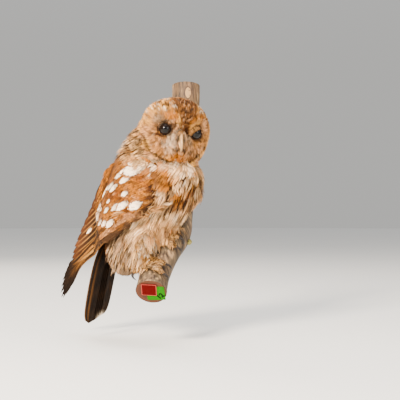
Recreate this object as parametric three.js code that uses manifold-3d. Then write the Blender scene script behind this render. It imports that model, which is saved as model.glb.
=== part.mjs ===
// A mounted tawny owl on a sawn length of branch that hangs flat against a wall.
// Millimetres, +Z up. The wall is the plane y = 0 and the mount stands in front of it, at negative y.
// The origin is on the planed back of the branch, where it meets the wall.

import * as THREE from 'three';
import { mergeVertices } from 'three/addons/utils/BufferGeometryUtils.js';
import Module from 'manifold-3d';

const wasm = await Module();
wasm.setup();

// ---------------------------------------------------------------- driving dimensions

const GAP = 0.3;                      // clearance between neighbouring pieces
const SWELL_PASSES = 8;
const FAR = 600;                      // side of the blocks that stand for half of space

const BRANCH_RADIUS = 23;
const BRANCH_BUTT_RADIUS = 24;
const TOP_CUT_TILT = 12;              // degrees that the top saw cut leans back
const STUB_TOP = 22;

const PERCH = [-39, -139, -245.4];     // where the bird's own frame stands on the branch
const HEADING = 55;                   // degrees the body is turned towards +X

const HEAD_CENTRE = [-6.5, -37, 183];
const HEAD_HALF = { width: 52, depth: 48, above: 50, below: 56 };
const HEAD_TURN = -42;                // degrees, towards the bird's right
const RUFF_FULLNESS = 0.5;          // under 1, the head stays broad down to the chin
const HEAD_NOD = 12;
const HEAD_TILT = 7;

const FACE_SET_BACK = 2.5;            // how much the face is flatter than the back of the head
const SAUCER = { radius: 16, depth: 6.5 };
const BROW = { up: 23, height: 3, spread: 6 };
const RIM = { radius: 44, height: 2, spread: 4.5 };
const EYE_RADIUS = 9.5;
const EYE = { side: 22.5, depth: -28, up: 3 };
const BILL_LENGTH = 22;
const BILL_HALF_WIDTH = 5.5;

const WING_REACH = 264;
const WING_FLAT = 38;                 // half the gap that the folded wings keep behind the body
const WING_FOLD = 0.45;               // how far the back edges close over the back
const TAIL_THICKNESS = 7;

const TOE_RADIUS = 6.5;
const CLAW_RADIUS = 2.3;

const LABEL_SIDE = { red: 23, green: 27 };
const LABEL_THICKNESS = { red: 1.3, green: 0.6 };

// ---------------------------------------------------------------- materials

function finish(color, roughness) {
  return new THREE.MeshStandardMaterial({ color, roughness, metalness: 0 });
}

const plumage = {
  head: finish(0xc9a98a, 0.9),
  collar: finish(0xd8bfa2, 0.9),
  body: finish(0xd6bb98, 0.9),
  coverts: finish(0xb87840, 0.85),
  flight: finish(0xb08a62, 0.8),
  tail: finish(0x4a3626, 0.8),
  feet: finish(0xdcc8ae, 0.95),
};
const eyeGlass = finish(0x140c08, 0.08);
const billHorn = finish(0xd8c79a, 0.4);
const clawHorn = finish(0x3a3028, 0.35);
const bark = finish(0xa9866c, 0.85);
const budScale = finish(0xa39a4a, 0.7);
const labelPaper = { red: finish(0xb02028, 0.5), green: finish(0x5cc41e, 0.5) };

// ---------------------------------------------------------------- solids

const vec = (x, y, z) => new THREE.Vector3(x, y, z);
const { clamp, degToRad, smoothstep } = THREE.MathUtils;

function toGeometry(solid) {
  const { vertProperties, triVerts } = solid.getMesh();
  const geometry = new THREE.BufferGeometry();
  geometry.setAttribute('position', new THREE.BufferAttribute(new Float32Array(vertProperties), 3));
  geometry.setIndex(Array.from(triVerts));
  return geometry;
}

// Closes a geometry into a solid, turned so that its faces point out.
function toSolid(geometry) {
  geometry.deleteAttribute('normal');
  geometry.deleteAttribute('uv');
  const closed = mergeVertices(geometry, 1e-3);
  const triangles = [];
  const index = closed.index.array;
  for (let i = 0; i < index.length; i += 3) {
    const [a, b, c] = index.slice(i, i + 3);
    if (a !== b && b !== c && c !== a) triangles.push(a, b, c);
  }
  const vertProperties = new Float32Array(closed.attributes.position.array);
  const make = (list) => new wasm.Manifold(
    new wasm.Mesh({ numProp: 3, vertProperties, triVerts: new Uint32Array(list) }));
  const solid = make(triangles);
  return solid.volume() > 0 ? solid : make(triangles.reverse());
}

// The same solid with every face moved out by a distance, to leave room round it. Each corner is
// pushed in turn along the normals of its faces, until all of them are far enough out.
function swollen(solid, by = GAP) {
  const geometry = toGeometry(solid);
  const { position } = geometry.attributes;
  const index = geometry.index.array;
  const corners = Array.from({ length: position.count }, (_, i) => vec().fromBufferAttribute(position, i));
  const shifts = corners.map(() => vec());
  const face = new THREE.Triangle();
  const normal = vec();
  for (let pass = 0; pass < SWELL_PASSES; pass += 1) {
    for (let i = 0; i < index.length; i += 3) {
      face.set(corners[index[i]], corners[index[i + 1]], corners[index[i + 2]]).getNormal(normal);
      for (const corner of index.slice(i, i + 3)) {
        const short = by - shifts[corner].dot(normal);
        if (short > 0) shifts[corner].addScaledVector(normal, short).clampLength(0, 4 * by);
      }
    }
  }
  corners.forEach((at, i) => position.setXYZ(i, ...at.add(shifts[i])));
  return toSolid(geometry);
}

const moved = (solid, matrix) => solid.transform(matrix.elements);

function cutBy(solid, ...others) {
  const rest = others.reduce((left, other) => left.subtract(other), solid);
  return rest.decompose().sort((a, b) => b.volume() - a.volume())[0];
}

// All of space on the side of a plane that its normal points to.
function halfSpace(point, normal) {
  const turn = new THREE.Quaternion().setFromUnitVectors(vec(0, 0, 1), normal.clone().normalize());
  const centre = point.clone().addScaledVector(normal.clone().normalize(), FAR / 2);
  const matrix = new THREE.Matrix4().compose(centre, turn, vec(1, 1, 1));
  return moved(toSolid(new THREE.BoxGeometry(FAR, FAR, FAR)), matrix);
}

function named(name, solid, material) {
  const mesh = new THREE.Mesh(toGeometry(solid), material);
  mesh.name = name;
  return mesh;
}

// A smooth function through a few [position, value] stations.
function through(stations) {
  const slope = (i) => {
    const before = stations[Math.max(i - 1, 0)];
    const after = stations[Math.min(i + 1, stations.length - 1)];
    return (after[1] - before[1]) / (after[0] - before[0]);
  };
  return (position) => {
    let i = 0;
    while (i < stations.length - 2 && position > stations[i + 1][0]) i += 1;
    const [start, from] = stations[i];
    const [end, to] = stations[i + 1];
    const span = end - start;
    const t = clamp((position - start) / span, 0, 1);
    const bend = t * (1 - t) * span;
    return from + (to - from) * t * t * (3 - 2 * t)
      + bend * (slope(i) * (1 - t) - slope(i + 1) * t);
  };
}

// A ball-like solid: place(along, around) gives each point, from pole 0 to pole 1.
function ball(rows, columns, place) {
  const geometry = new THREE.SphereGeometry(1, columns, rows);
  const { position, uv } = geometry.attributes;
  for (let i = 0; i < position.count; i += 1) {
    const along = 1 - uv.getY(i);
    const pole = along < 1e-6 || along > 1 - 1e-6;
    const around = pole ? 0 : uv.getX(i) * 2 * Math.PI;
    const at = place(along, around, pole);
    position.setXYZ(i, at.x, at.y, at.z);
  }
  return toSolid(geometry);
}

// A tube along a curve with flat ends; size(t) gives its [half width, half height].
function tube(points, rows, columns, size) {
  const curve = new THREE.CatmullRomCurve3(points.map((p) => vec(...p)), false, 'centripetal');
  const rings = rows - 2;
  const frames = curve.computeFrenetFrames(rings);
  return ball(rows, columns, (along, around, pole) => {
    const ring = clamp(Math.round(along * rows) - 1, 0, rings);
    const [wide, high] = pole ? [0, 0] : size(ring / rings);
    return curve.getPointAt(ring / rings)
      .addScaledVector(frames.normals[ring], wide * Math.cos(around))
      .addScaledVector(frames.binormals[ring], high * Math.sin(around));
  });
}

// A bent plate: place(s, t, side) with s and t from 0 to 1 and side 0 or 1.
function plate(columns, rows, place) {
  const geometry = new THREE.BoxGeometry(1, 1, 1, columns, rows, 1);
  const { position } = geometry.attributes;
  for (let i = 0; i < position.count; i += 1) {
    const at = place(position.getX(i) + 0.5, position.getY(i) + 0.5, position.getZ(i) + 0.5);
    position.setXYZ(i, at.x, at.y, at.z);
  }
  return toSolid(geometry);
}

function ellipsoid(centre, half, rows = 6, columns = 10) {
  return ball(rows, columns, (along, around) => {
    const ring = Math.sin(along * Math.PI);
    return vec(half[0] * ring * Math.cos(around), half[1] * ring * Math.sin(around),
      half[2] * Math.cos(along * Math.PI)).add(vec(...centre));
  });
}

// ---------------------------------------------------------------- branch, in the wall's frame

const branchLine = [
  [0, -8, 34], [0, -12, 0], [-3, -27, -80], [-7, -42, -140], [-10, -60, -188],
  [-13, -98, -222], [-29, -134, -247.5], [-44, -164, -280], [-50, -199, -311],
];
const buttCentre = vec(-48.5, -188, -301);
const buttNormal = vec(-0.1, -0.75, -0.65).normalize();

function branchSolid() {
  const radius = through([[0, BRANCH_RADIUS], [0.5, 22.5], [0.78, 21.5], [1, BRANCH_BUTT_RADIUS]]);
  const trunk = tube(branchLine, 18, 16, (t) => [radius(t), radius(t)]);
  const topNormal = vec(0, Math.sin(degToRad(TOP_CUT_TILT)), Math.cos(degToRad(TOP_CUT_TILT)));
  return trunk
    .subtract(halfSpace(vec(0, 0, 0), vec(0, 1, 0)))
    .subtract(halfSpace(vec(0, -8, STUB_TOP), topNormal))
    .subtract(halfSpace(buttCentre, buttNormal));
}

// The sawn face looks down and out from the wall; its own x runs level, its y up the face.
function buttFrame() {
  const up = vec(0, 0, 1).addScaledVector(buttNormal, -buttNormal.z).normalize();
  const across = up.clone().cross(buttNormal);
  return new THREE.Matrix4().makeBasis(across, up, buttNormal).setPosition(buttCentre);
}

function labelSolid(side, thickness, lift, x, y, turn) {
  const matrix = new THREE.Matrix4().makeRotationZ(degToRad(turn));
  matrix.setPosition(x, y, lift + thickness / 2);
  return moved(toSolid(new THREE.BoxGeometry(side, side, thickness)), matrix);
}

// ---------------------------------------------------------------- the bird's own frame
// It looks along -Y, its left is +X, and it stands on the branch at the frame's origin.

const owl = new THREE.Group();
owl.position.set(...PERCH);
owl.rotation.z = degToRad(HEADING);
owl.updateMatrix();
const wallToOwl = owl.matrix.clone().invert();

// Level sections of neck and trunk: height to middle, half depth and half width.
const bodyMiddle = through([[-40, 64], [-15, 58], [5, 51], [30, 37], [60, 21], [87, 10],
  [110, 1], [130, 0], [146, 4], [162, 4], [183, -2], [212, -8]]);
const bodyDepth = through([[-40, 8], [-30, 20], [-15, 33], [5, 44], [30, 56], [60, 71], [87, 78],
  [110, 79], [130, 69], [146, 58], [162, 48], [183, 38], [205, 26], [212, 8]]);
const bodyWidth = through([[-40, 9], [-30, 22], [-15, 34], [5, 44], [30, 52], [60, 57], [87, 58],
  [110, 57], [130, 54], [162, 50], [183, 42], [205, 30], [212, 8]]);
const BODY_LOW = -40;
const BODY_HIGH = 212;

function bodySolid() {
  return ball(20, 20, (along, around, pole) => {
    const z = BODY_HIGH + (BODY_LOW - BODY_HIGH) * along;
    const ring = pole ? 0 : 1;
    return vec(ring * bodyWidth(z) * Math.cos(around),
      bodyMiddle(z) + ring * bodyDepth(z) * Math.sin(around), z);
  });
}

// ---------------------------------------------------------------- head, in its own frame

const headTurn = new THREE.Euler(degToRad(HEAD_NOD), degToRad(HEAD_TILT), degToRad(HEAD_TURN), 'ZXY');
const headFrame = new THREE.Matrix4().makeRotationFromEuler(headTurn).setPosition(...HEAD_CENTRE);

const bump = (distance, spread) => Math.exp(-((distance / spread) ** 2));

// The face is flattened, with a saucer round each eye, a ridge between them and a rim outside.
function headSolid() {
  return ball(18, 26, (along, around) => {
    const ring = Math.sin(along * Math.PI);
    const z = (along < 0.5 ? HEAD_HALF.above : HEAD_HALF.below) * Math.cos(along * Math.PI);
    const ruff = z < 0 ? ring ** RUFF_FULLNESS : ring;
    const x = HEAD_HALF.width * ruff * Math.cos(around);
    const y = HEAD_HALF.depth * (Math.sin(around) < 0 ? ring : ruff) * Math.sin(around);
    const side = Math.abs(x);
    const saucer = SAUCER.depth * bump(Math.hypot(side - EYE.side, z - EYE.up), SAUCER.radius);
    const brow = BROW.height * bump(z - BROW.up, BROW.spread) * bump(side - EYE.side, SAUCER.radius);
    const rim = RIM.height * bump(Math.hypot(x, z) - RIM.radius, RIM.spread);
    return vec(x, y + smoothstep(-y, 4, 30) * (FACE_SET_BACK + saucer - brow - rim), z);
  });
}

function eyeSolid(side) {
  return ellipsoid([side * EYE.side, EYE.depth, EYE.up], [EYE_RADIUS, EYE_RADIUS, EYE_RADIUS], 8, 12);
}

function billSolid() {
  const line = [[0, -36, -1], [0, -44.5, -6], [0.5, -50, -BILL_LENGTH * 0.6],
    [1, -50.5, -BILL_LENGTH * 0.95], [1.5, -48, -BILL_LENGTH - 3]];
  const narrow = through([[0, 1], [0.35, 0.82], [0.8, 0.42], [1, 0.12]]);
  return tube(line, 10, 8, (t) => [BILL_HALF_WIDTH * narrow(t), BILL_HALF_WIDTH * 1.05 * narrow(t)]);
}

// ---------------------------------------------------------------- wings
// side is -1 for the right wing and +1 for the left. A place on a wing is named by how far it lies
// along from the bend towards the tip, and how far across from the front edge up to the back.

const wings = [
  { name: 'right', side: -1, bend: { y: -20, z: 110 }, run: vec(0, 0.718, -0.696), stand: WING_FLAT },
  { name: 'left', side: 1, bend: { y: -20, z: 112 }, run: vec(0, 0.668, -0.744), stand: WING_FLAT - 9 },
];

const BEND_START = -20;
const COVERTS_END = 112;
const COVERT_LAP = 16;                // how much further the coverts reach along the front edge
const SECONDARIES_END = 213;
const PLATE_EDGE = 0.35;              // thickness of a feathered edge, as a part of the middle's
const frontEdge = through([[BEND_START, 0], [-12, -34], [0, -48], [20, -43], [45, -34], [108, -16],
  [153, -2], [194, 6], [215, 3], [240, -5], [WING_REACH, -8]]);
const backEdge = through([[BEND_START, 10], [-6, 50], [14, 71], [50, 84], [76, 82], [115, 67],
  [183, 52], [207, 40], [214, 27], [240, 18], [256, 7], [WING_REACH, -4]]);
const partingLine = through([[100, 12], [150, 15], [195, 18], [216, 20]]);
const covertThickness = through([[BEND_START, 2], [20, 9], [120, 6]]);
const flightThickness = through([[100, 6], [200, 3.5], [WING_REACH, 1.6]]);

// Half width of the body's level section at a place beside it.
function flank(y, z) {
  const depth = bodyDepth(clamp(z, BODY_LOW, BODY_HIGH));
  const off = (y - bodyMiddle(clamp(z, BODY_LOW, BODY_HIGH))) / depth;
  return z < BODY_LOW || Math.abs(off) > 1 ? 0 : bodyWidth(z) * Math.sqrt(1 - off * off);
}

// A place on the wing's outer face, or a depth under it. The wing lies over the flank and closes
// over the back, and it stands off the body by a little more behind the bend.
function wingPoint(wing, along, across, depth) {
  const y = wing.bend.y + wing.run.y * along - wing.run.z * across;
  const z = wing.bend.z + wing.run.z * along + wing.run.y * across;
  const fold = 1 - WING_FOLD * smoothstep(across, 10, 70);
  const stand = wing.stand * fold * smoothstep(along, 2 * BEND_START, 30);
  return vec(wing.side * (Math.hypot(flank(y, z), stand) - depth), y, z);
}

// A plate of the wing between two lines across it; skew draws its start out at the front edge.
function wingSolid(wing, { from, to, low, high, thickness, skew = 0 }, columns, rows) {
  return plate(columns, rows, (s, t, face) => {
    const start = from + skew * (1 - t);
    const along = start + (to(t) - start) * s;
    const across = low(along) + (high(along) - low(along)) * t;
    const full = thickness(along);
    const thick = full * (PLATE_EDGE + (1 - PLATE_EDGE) * Math.sin(Math.PI * t));
    return wingPoint(wing, along, across, (full - thick) / 2 + (1 - face) * thick);
  });
}

function wingPieces(wing) {
  const coverts = wingSolid(wing, {
    from: BEND_START, to: (t) => COVERTS_END + COVERT_LAP * (1 - t),
    low: frontEdge, high: backEdge, thickness: covertThickness,
  }, 12, 6);
  const secondaries = wingSolid(wing, {
    from: COVERTS_END + GAP, to: () => SECONDARIES_END, skew: COVERT_LAP / 2,
    low: (along) => partingLine(along) + GAP / 2, high: backEdge, thickness: flightThickness,
  }, 8, 3);
  const primaryTop = (along) => (
    along < SECONDARIES_END + 10 * GAP ? partingLine(along) - GAP / 2 : backEdge(along));
  const primaries = wingSolid(wing, {
    from: COVERTS_END + GAP, to: () => WING_REACH, skew: COVERT_LAP,
    low: frontEdge, high: primaryTop, thickness: flightThickness,
  }, 14, 3);
  return { coverts, secondaries, primaries };
}

// ---------------------------------------------------------------- tail

const TAIL_ROOT = [-3, 90, 22];
const TAIL_END = [-6, 131, -121];
const tailHalfWidth = through([[0, 15], [0.3, 19], [0.8, 24], [0.94, 22], [1, 15]]);

function tailSolid() {
  const root = vec(...TAIL_ROOT);
  const run = vec(...TAIL_END).sub(root);
  const back = vec(0, -run.z, run.y).normalize();
  return plate(9, 6, (s, t, face) => {
    const across = 2 * t - 1;
    const shorter = 0.07 * across * across + 0.05 * (across + 1) * smoothstep(s, 0.7, 1);
    const arch = 7 * (1 - across * across) * (1 - 0.3 * s);
    const thick = TAIL_THICKNESS * (1 - 0.6 * s) * (1 - 0.5 * across * across);
    return root.clone().addScaledVector(run, s * (1 - shorter * s))
      .add(vec(across * tailHalfWidth(s), 0, 0))
      .addScaledVector(back, arch + (face - 1) * thick - 4);
  });
}

// ---------------------------------------------------------------- legs and feet
// Each foot has a frame on the branch's axis: x points forward over it, y along it, z up off it.

const branchUp = vec(0.69, 0.13, 0.71).normalize();

function footFrame(centre) {
  const forward = vec(0, -1, 0).addScaledVector(branchUp, branchUp.y).normalize();
  const off = forward.clone().cross(branchUp).normalize();
  return new THREE.Matrix4().makeBasis(forward, branchUp, off).setPosition(...centre);
}

const feet = [
  { name: 'right', axis: [-24, -9.5, -35], knee: [-25, 12, 30], foot: [-3, 0, 30] },
  { name: 'left', axis: [16, -4, 2.5], knee: [13, 0, 48], foot: [-3, 0, 30] },
];

// Two toes reach forward over the branch and two back; spread is along the branch.
const toes = [
  { spread: 9, from: 8, to: 62 }, { spread: -9, from: 8, to: 66 },
  { spread: 12, from: -8, to: -52 }, { spread: -11, from: -8, to: -48 },
];

function roundBranch(angle, radius, y) {
  return [radius * Math.sin(degToRad(angle)), y, radius * Math.cos(degToRad(angle))];
}

function toeSolid({ spread, from, to }) {
  const radius = BRANCH_RADIUS + TOE_RADIUS + GAP;
  const line = [0, 0.33, 0.66, 1].map((t) => (
    roundBranch(from + (to - from) * t, radius, spread * (0.45 + 0.55 * t))));
  const thin = through([[0, 1.05], [0.6, 1], [0.9, 0.8], [1, 0.45]]);
  return tube(line, 6, 6, (t) => [TOE_RADIUS * thin(t), TOE_RADIUS * thin(t)]);
}

function clawSolid({ spread, from, to }) {
  const turn = Math.sign(to - from);
  const radius = BRANCH_RADIUS + TOE_RADIUS + GAP;
  const line = [
    roundBranch(to - turn * 6, radius, spread * 0.97), roundBranch(to + turn * 8, radius + 1.5, spread),
    roundBranch(to + turn * 20, radius - 0.5, spread), roundBranch(to + turn * 29, radius - 4.8, spread),
  ];
  const thin = through([[0, 1], [0.5, 0.8], [1, 0.15]]);
  return tube(line, 7, 6, (t) => [CLAW_RADIUS * thin(t), CLAW_RADIUS * thin(t)]);
}

function legSolid({ axis, knee, foot }) {
  const ankle = vec(...foot).applyMatrix4(footFrame(axis));
  const size = through([[0, 14], [0.15, 23], [0.5, 22], [0.8, 16], [1, 9]]);
  return tube([knee, ankle.toArray()], 8, 8, (t) => [size(t), size(t)]);
}

// ---------------------------------------------------------------- assembly

const mount = new THREE.Group();
mount.add(owl);

const branch = branchSolid();
const branchInOwl = moved(swollen(branch), wallToOwl);
const bud = ellipsoid([5.8, -108, -231.5], [5.5, 6, 5]);
mount.add(named('branch', branch, bark));
mount.add(named('branch_bud', cutBy(bud, swollen(branch)), budScale));

const labels = new THREE.Group();
labels.applyMatrix4(buttFrame());
const green = labelSolid(LABEL_SIDE.green, LABEL_THICKNESS.green, GAP, 6.6, -3, 1);
const red = labelSolid(LABEL_SIDE.red, LABEL_THICKNESS.red, GAP, -2.6, 4.6, -4);
labels.add(named('label_green', green, labelPaper.green));
labels.add(named('label_red', red.subtract(swollen(green, GAP * 1.5)), labelPaper.red));
mount.add(labels);

const headGroup = new THREE.Group();
headGroup.applyMatrix4(headFrame);
owl.add(headGroup);
const eyes = [eyeSolid(-1), eyeSolid(1)];
const bill = billSolid();
const wholeHead = headSolid();
const head = cutBy(wholeHead, ...eyes.map((eye) => swollen(eye)), swollen(bill));
headGroup.add(named('head', head, plumage.head));
headGroup.add(named('eye_right', eyes[0], eyeGlass));
headGroup.add(named('eye_left', eyes[1], eyeGlass));
headGroup.add(named('bill', bill, billHorn));
const headRoom = moved(swollen(wholeHead, GAP * 1.2), headFrame);

const tail = tailSolid();
const wingRoom = [];
for (const wing of wings) {
  const { coverts, secondaries, primaries } = wingPieces(wing);
  const covertRoom = swollen(coverts);
  const quills = cutBy(primaries, covertRoom, swollen(secondaries));
  const pieces = [coverts, cutBy(secondaries, covertRoom), quills]
    .map((piece) => cutBy(piece, branchInOwl));
  pieces.forEach((piece) => wingRoom.push(swollen(piece)));
  owl.add(named(`wing_coverts_${wing.name}`, pieces[0], plumage.coverts));
  owl.add(named(`wing_secondaries_${wing.name}`, pieces[1], plumage.flight));
  owl.add(named(`wing_primaries_${wing.name}`, pieces[2], plumage.flight));
}

const body = bodySolid();
const bodyRoom = swollen(body);
const footRoom = [];
for (const side of feet) {
  const frame = footFrame(side.axis);
  const branchInFoot = moved(branchInOwl, frame.clone().invert());
  const pad = ellipsoid([0, 0, BRANCH_RADIUS + 4], [9, 12, 7], 5, 8);
  const foot = toes.reduce((sum, toe) => sum.add(toeSolid(toe)), pad);
  const claws = toes.map((toe) => cutBy(clawSolid(toe), branchInFoot));
  const group = new THREE.Group();
  group.applyMatrix4(frame);
  const toesClear = cutBy(foot, branchInFoot, ...claws.map((claw) => swollen(claw)));
  group.add(named(`foot_${side.name}`, toesClear, plumage.feet));
  claws.forEach((claw, i) => group.add(named(`claw_${side.name}_${i + 1}`, claw, clawHorn)));
  owl.add(group);
  footRoom.push(...[foot, ...claws].map((piece) => moved(swollen(piece), frame)));
}

const neckBase = vec(0, -15, 132);
const neckUp = vec(0, -0.2, 0.98).normalize();
const aboveNeck = halfSpace(neckBase.clone().addScaledVector(neckUp, GAP / 2), neckUp);
const belowNeck = halfSpace(neckBase.clone().addScaledVector(neckUp, -GAP / 2), neckUp.clone().negate());
const neck = cutBy(body.intersect(aboveNeck), headRoom, ...wingRoom);
owl.add(named('neck', neck, plumage.collar));
const legs = feet.map((side) => cutBy(legSolid(side), branchInOwl, ...footRoom, ...wingRoom));
legs[1] = cutBy(legs[1], swollen(legs[0]));
feet.forEach((side, i) => owl.add(named(`leg_${side.name}`, legs[i], plumage.feet)));
const legRoom = feet.map((side) => swollen(legSolid(side)));
const trunkRoom = [headRoom, ...wingRoom, branchInOwl, ...footRoom, ...legRoom];
const trunk = cutBy(body.intersect(belowNeck), ...trunkRoom);
owl.add(named('trunk', trunk, plumage.body));
owl.add(named('tail', cutBy(tail, bodyRoom, ...wingRoom), plumage.tail));

export default mount;
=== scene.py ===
"""A mounted tawny owl on its wall branch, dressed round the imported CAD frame."""

from contextlib import contextmanager
from functools import partial
from math import ceil, cos, pi, radians, sin, sqrt

import bmesh
import bpy
import numpy as np
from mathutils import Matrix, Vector
from mathutils.bvhtree import BVHTree
from numpy.linalg import norm
from numpy.random import default_rng


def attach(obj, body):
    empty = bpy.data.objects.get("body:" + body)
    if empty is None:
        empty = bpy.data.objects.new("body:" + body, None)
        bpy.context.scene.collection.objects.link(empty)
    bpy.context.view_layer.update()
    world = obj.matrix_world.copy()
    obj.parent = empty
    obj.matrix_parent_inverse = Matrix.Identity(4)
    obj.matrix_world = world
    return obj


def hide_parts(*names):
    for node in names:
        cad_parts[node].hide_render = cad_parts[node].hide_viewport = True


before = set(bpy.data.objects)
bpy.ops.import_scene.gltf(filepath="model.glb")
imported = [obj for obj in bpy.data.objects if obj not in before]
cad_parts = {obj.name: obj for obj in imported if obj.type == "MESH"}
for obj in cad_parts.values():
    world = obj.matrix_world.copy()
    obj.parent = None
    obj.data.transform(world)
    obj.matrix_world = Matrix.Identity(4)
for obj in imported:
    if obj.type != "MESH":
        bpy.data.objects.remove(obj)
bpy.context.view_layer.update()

bl_info = {
    "name": "Mounted Tawny Owl",
    "version": (1, 0, 0),
    "blender": (4, 5, 0),
    "location": "3D View > Sidebar > Owl",
    "description": "Builds a mounted tawny owl on its wall branch round a fixed frame",
    "category": "Object",
}

MM = 0.001
BODY = "root"
BAKE_PATCH = 0.003          # size of a tuft's patch on the bake map
SKIN_VOXEL = 0.0024
WELD = 1e-6                 # corners closer than this are one


def rgb(hex_colour):
    """Linear red, green and blue of an sRGB hex colour."""
    value = np.array([int(hex_colour[i:i + 2], 16) for i in (1, 3, 5)]) / 255
    return np.where(value <= 0.04045, value / 12.92, ((value + 0.055) / 1.055) ** 2.4)


def solid(colour):
    """A colour with nothing see-through, as the shaders take it."""
    return (*(float(c) for c in colour), 1.0)


def rgba(hex_colour):
    return solid(rgb(hex_colour))


# ---- numbers and curves

def unit(vectors):
    """Vectors made one long."""
    length = norm(vectors, axis=-1, keepdims=True)
    return vectors / np.maximum(length, 1e-9)


def ease(value, low, high):
    """0 at low and 1 at high, eased between; low may be the greater."""
    t = np.clip((np.asarray(value, float) - low) / (high - low), 0, 1)
    return t * t * (3 - 2 * t)


def bell(distance, spread):
    """1 at no distance, falling to a third at the spread."""
    return np.exp(-(np.asarray(distance, float) / spread) ** 2)


def blend(first, second, amount):
    amount = np.asarray(amount, float)[..., None]
    return first * (1 - amount) + second * amount


def paint(ground, *layers):
    """A ground colour with others laid over it in turn; each has its share of each place."""
    colour = INK[ground] if isinstance(ground, str) else ground
    for name, share in layers:
        colour = blend(colour, INK[name] if isinstance(name, str) else name, share)
    return colour


def through(*stations):
    """A smooth function through a few (position, value) stations."""
    at, value = np.array(stations, float).T
    slope = np.diff(value) / np.diff(at)
    slope = np.r_[slope[0], (value[2:] - value[:-2]) / (at[2:] - at[:-2]), slope[-1]]

    def curve(position):
        x = np.asarray(position, float)
        i = np.clip(np.searchsorted(at, x) - 1, 0, len(at) - 2)
        span = at[i + 1] - at[i]
        t = np.clip((x - at[i]) / span, 0, 1)
        bend = t * (1 - t) * span
        return (value[i] + (value[i + 1] - value[i]) * t * t * (3 - 2 * t)
                + bend * (slope[i] * (1 - t) - slope[i + 1] * t))
    return curve


def mottle(points, size, seed=0):
    """Soft blotches from 0 to 1, about size across, fixed by their seed."""
    cell = np.asarray(points, float) / size + seed * 17.31
    base = np.floor(cell).astype(np.int64)
    t = cell - base
    t = t * t * (3 - 2 * t)
    total = np.zeros(cell.shape[:-1])
    for corner in range(8):
        step = np.array([corner & 1, corner >> 1 & 1, corner >> 2 & 1])
        key = base + step
        mixed = key[..., 0] * 374761393 + key[..., 1] * 668265263 + key[..., 2] * 97531357
        mixed = (mixed + seed * 1274126177) & 0xffffffff
        mixed = ((mixed ^ (mixed >> 13)) * 1274126177) & 0xffffffff
        level = ((mixed ^ (mixed >> 16)) & 0xffff) / 65535
        total = total + np.prod(np.where(step, t, 1 - t), axis=-1) * level
    return total


# ---- the owl's frames, in mm
# The owl looks along -Y, its left is +X, and its frame's origin is between its feet.

HEADING = radians(55)
PERCH = np.array([-39.0, -139.0, -245.4])
HEAD_CENTRE = np.array([-6.5, -37.0, 183.0])
HEAD_NOD, HEAD_TILT, HEAD_TURN = (radians(a) for a in (12, 7, -42))
EYE_SIDE, EYE_DEPTH, EYE_UP, EYE_RADIUS = 22.5, -28.0, 3.0, 9.5


def turn_about(axis, angle):
    """Turns about x, y or z, by an angle in radians."""
    c, s = cos(angle), sin(angle)
    grids = {"x": [[1, 0, 0], [0, c, -s], [0, s, c]], "y": [[c, 0, s], [0, 1, 0], [-s, 0, c]],
             "z": [[c, -s, 0], [s, c, 0], [0, 0, 1]]}
    return np.array(grids[axis], float)


OWL_AXES = turn_about("z", HEADING)
HEAD_AXES = turn_about("z", HEAD_TURN) @ turn_about("x", HEAD_NOD) @ turn_about("y", HEAD_TILT)


def spun(points, degrees):
    """Flat points turned about their origin."""
    return points[:, :2] @ turn_about("z", radians(degrees))[:2, :2].T


def owl_to_world(points):
    return (np.asarray(points, float) @ OWL_AXES.T + PERCH) * MM


def world_to_owl(points):
    return (np.asarray(points, float) / MM - PERCH) @ OWL_AXES


def head_to_owl(points):
    return np.asarray(points, float) @ HEAD_AXES.T + HEAD_CENTRE


def owl_to_head(points):
    return (np.asarray(points, float) - HEAD_CENTRE) @ HEAD_AXES


VENT_END = -40              # the trunk's lower end
body_middle = through((VENT_END, 64), (-15, 58), (5, 51), (30, 37), (60, 21), (87, 10), (110, 1),
                      (130, 0), (146, 4), (162, 4), (183, -2), (212, -8))
body_depth = through((-40, 8), (-30, 20), (-15, 33), (5, 44), (30, 56), (60, 71), (87, 78),
                     (110, 79), (130, 69), (146, 58), (162, 48), (183, 38), (205, 26), (212, 8))
body_width = through((-40, 9), (-30, 22), (-15, 34), (5, 44), (30, 52), (60, 57), (87, 58),
                     (110, 57), (130, 54), (162, 50), (183, 42), (205, 30), (212, 8))

# Wings: a place is named by how far it lies along from the bend and across from front to back.
WINGS = {
    "right": {"side": -1, "bend": (-20, 110), "run": (0.718, -0.696), "stand": 38.0},
    "left": {"side": 1, "bend": (-20, 112), "run": (0.668, -0.744), "stand": 29.0},
}
WING_FOLD = 0.45
front_edge = through((-20, 0), (-12, -34), (0, -48), (20, -43), (45, -34), (108, -16),
                     (153, -2), (194, 6), (215, 3), (240, -5), (264, -8))
back_edge = through((-20, 10), (-6, 50), (14, 71), (50, 84), (76, 82), (115, 67), (183, 52),
                    (207, 40), (214, 27), (240, 18), (256, 7), (264, -4))
parting_line = through((100, 12), (150, 15), (195, 18), (216, 20), (240, 8), (264, -6))


def wing_point(wing, along, across, depth):
    """A place on the wing's outer face, or a depth under it."""
    along, across = np.asarray(along, float), np.asarray(across, float)
    (by, bz), (ry, rz) = wing["bend"], wing["run"]
    y = by + ry * along - rz * across
    z = bz + rz * along + ry * across
    off = (y - body_middle(z)) / body_depth(z)
    flank = np.where((z < VENT_END) | (np.abs(off) > 1), 0,
                     body_width(z) * np.sqrt(np.clip(1 - off * off, 0, 1)))
    stand = wing["stand"] * (1 - WING_FOLD * ease(across, 10, 70)) * ease(along, -40, 30)
    return np.stack([wing["side"] * (np.hypot(flank, stand) - depth), y, z], axis=-1)


def wing_place(wing, points):
    """How far along and across the wing a point of the owl lies."""
    (by, bz), (ry, rz) = wing["bend"], wing["run"]
    y, z = points[..., 1] - by, points[..., 2] - bz
    return y * ry + z * rz, -y * rz + z * ry


# ---- colours of the bird

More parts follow.
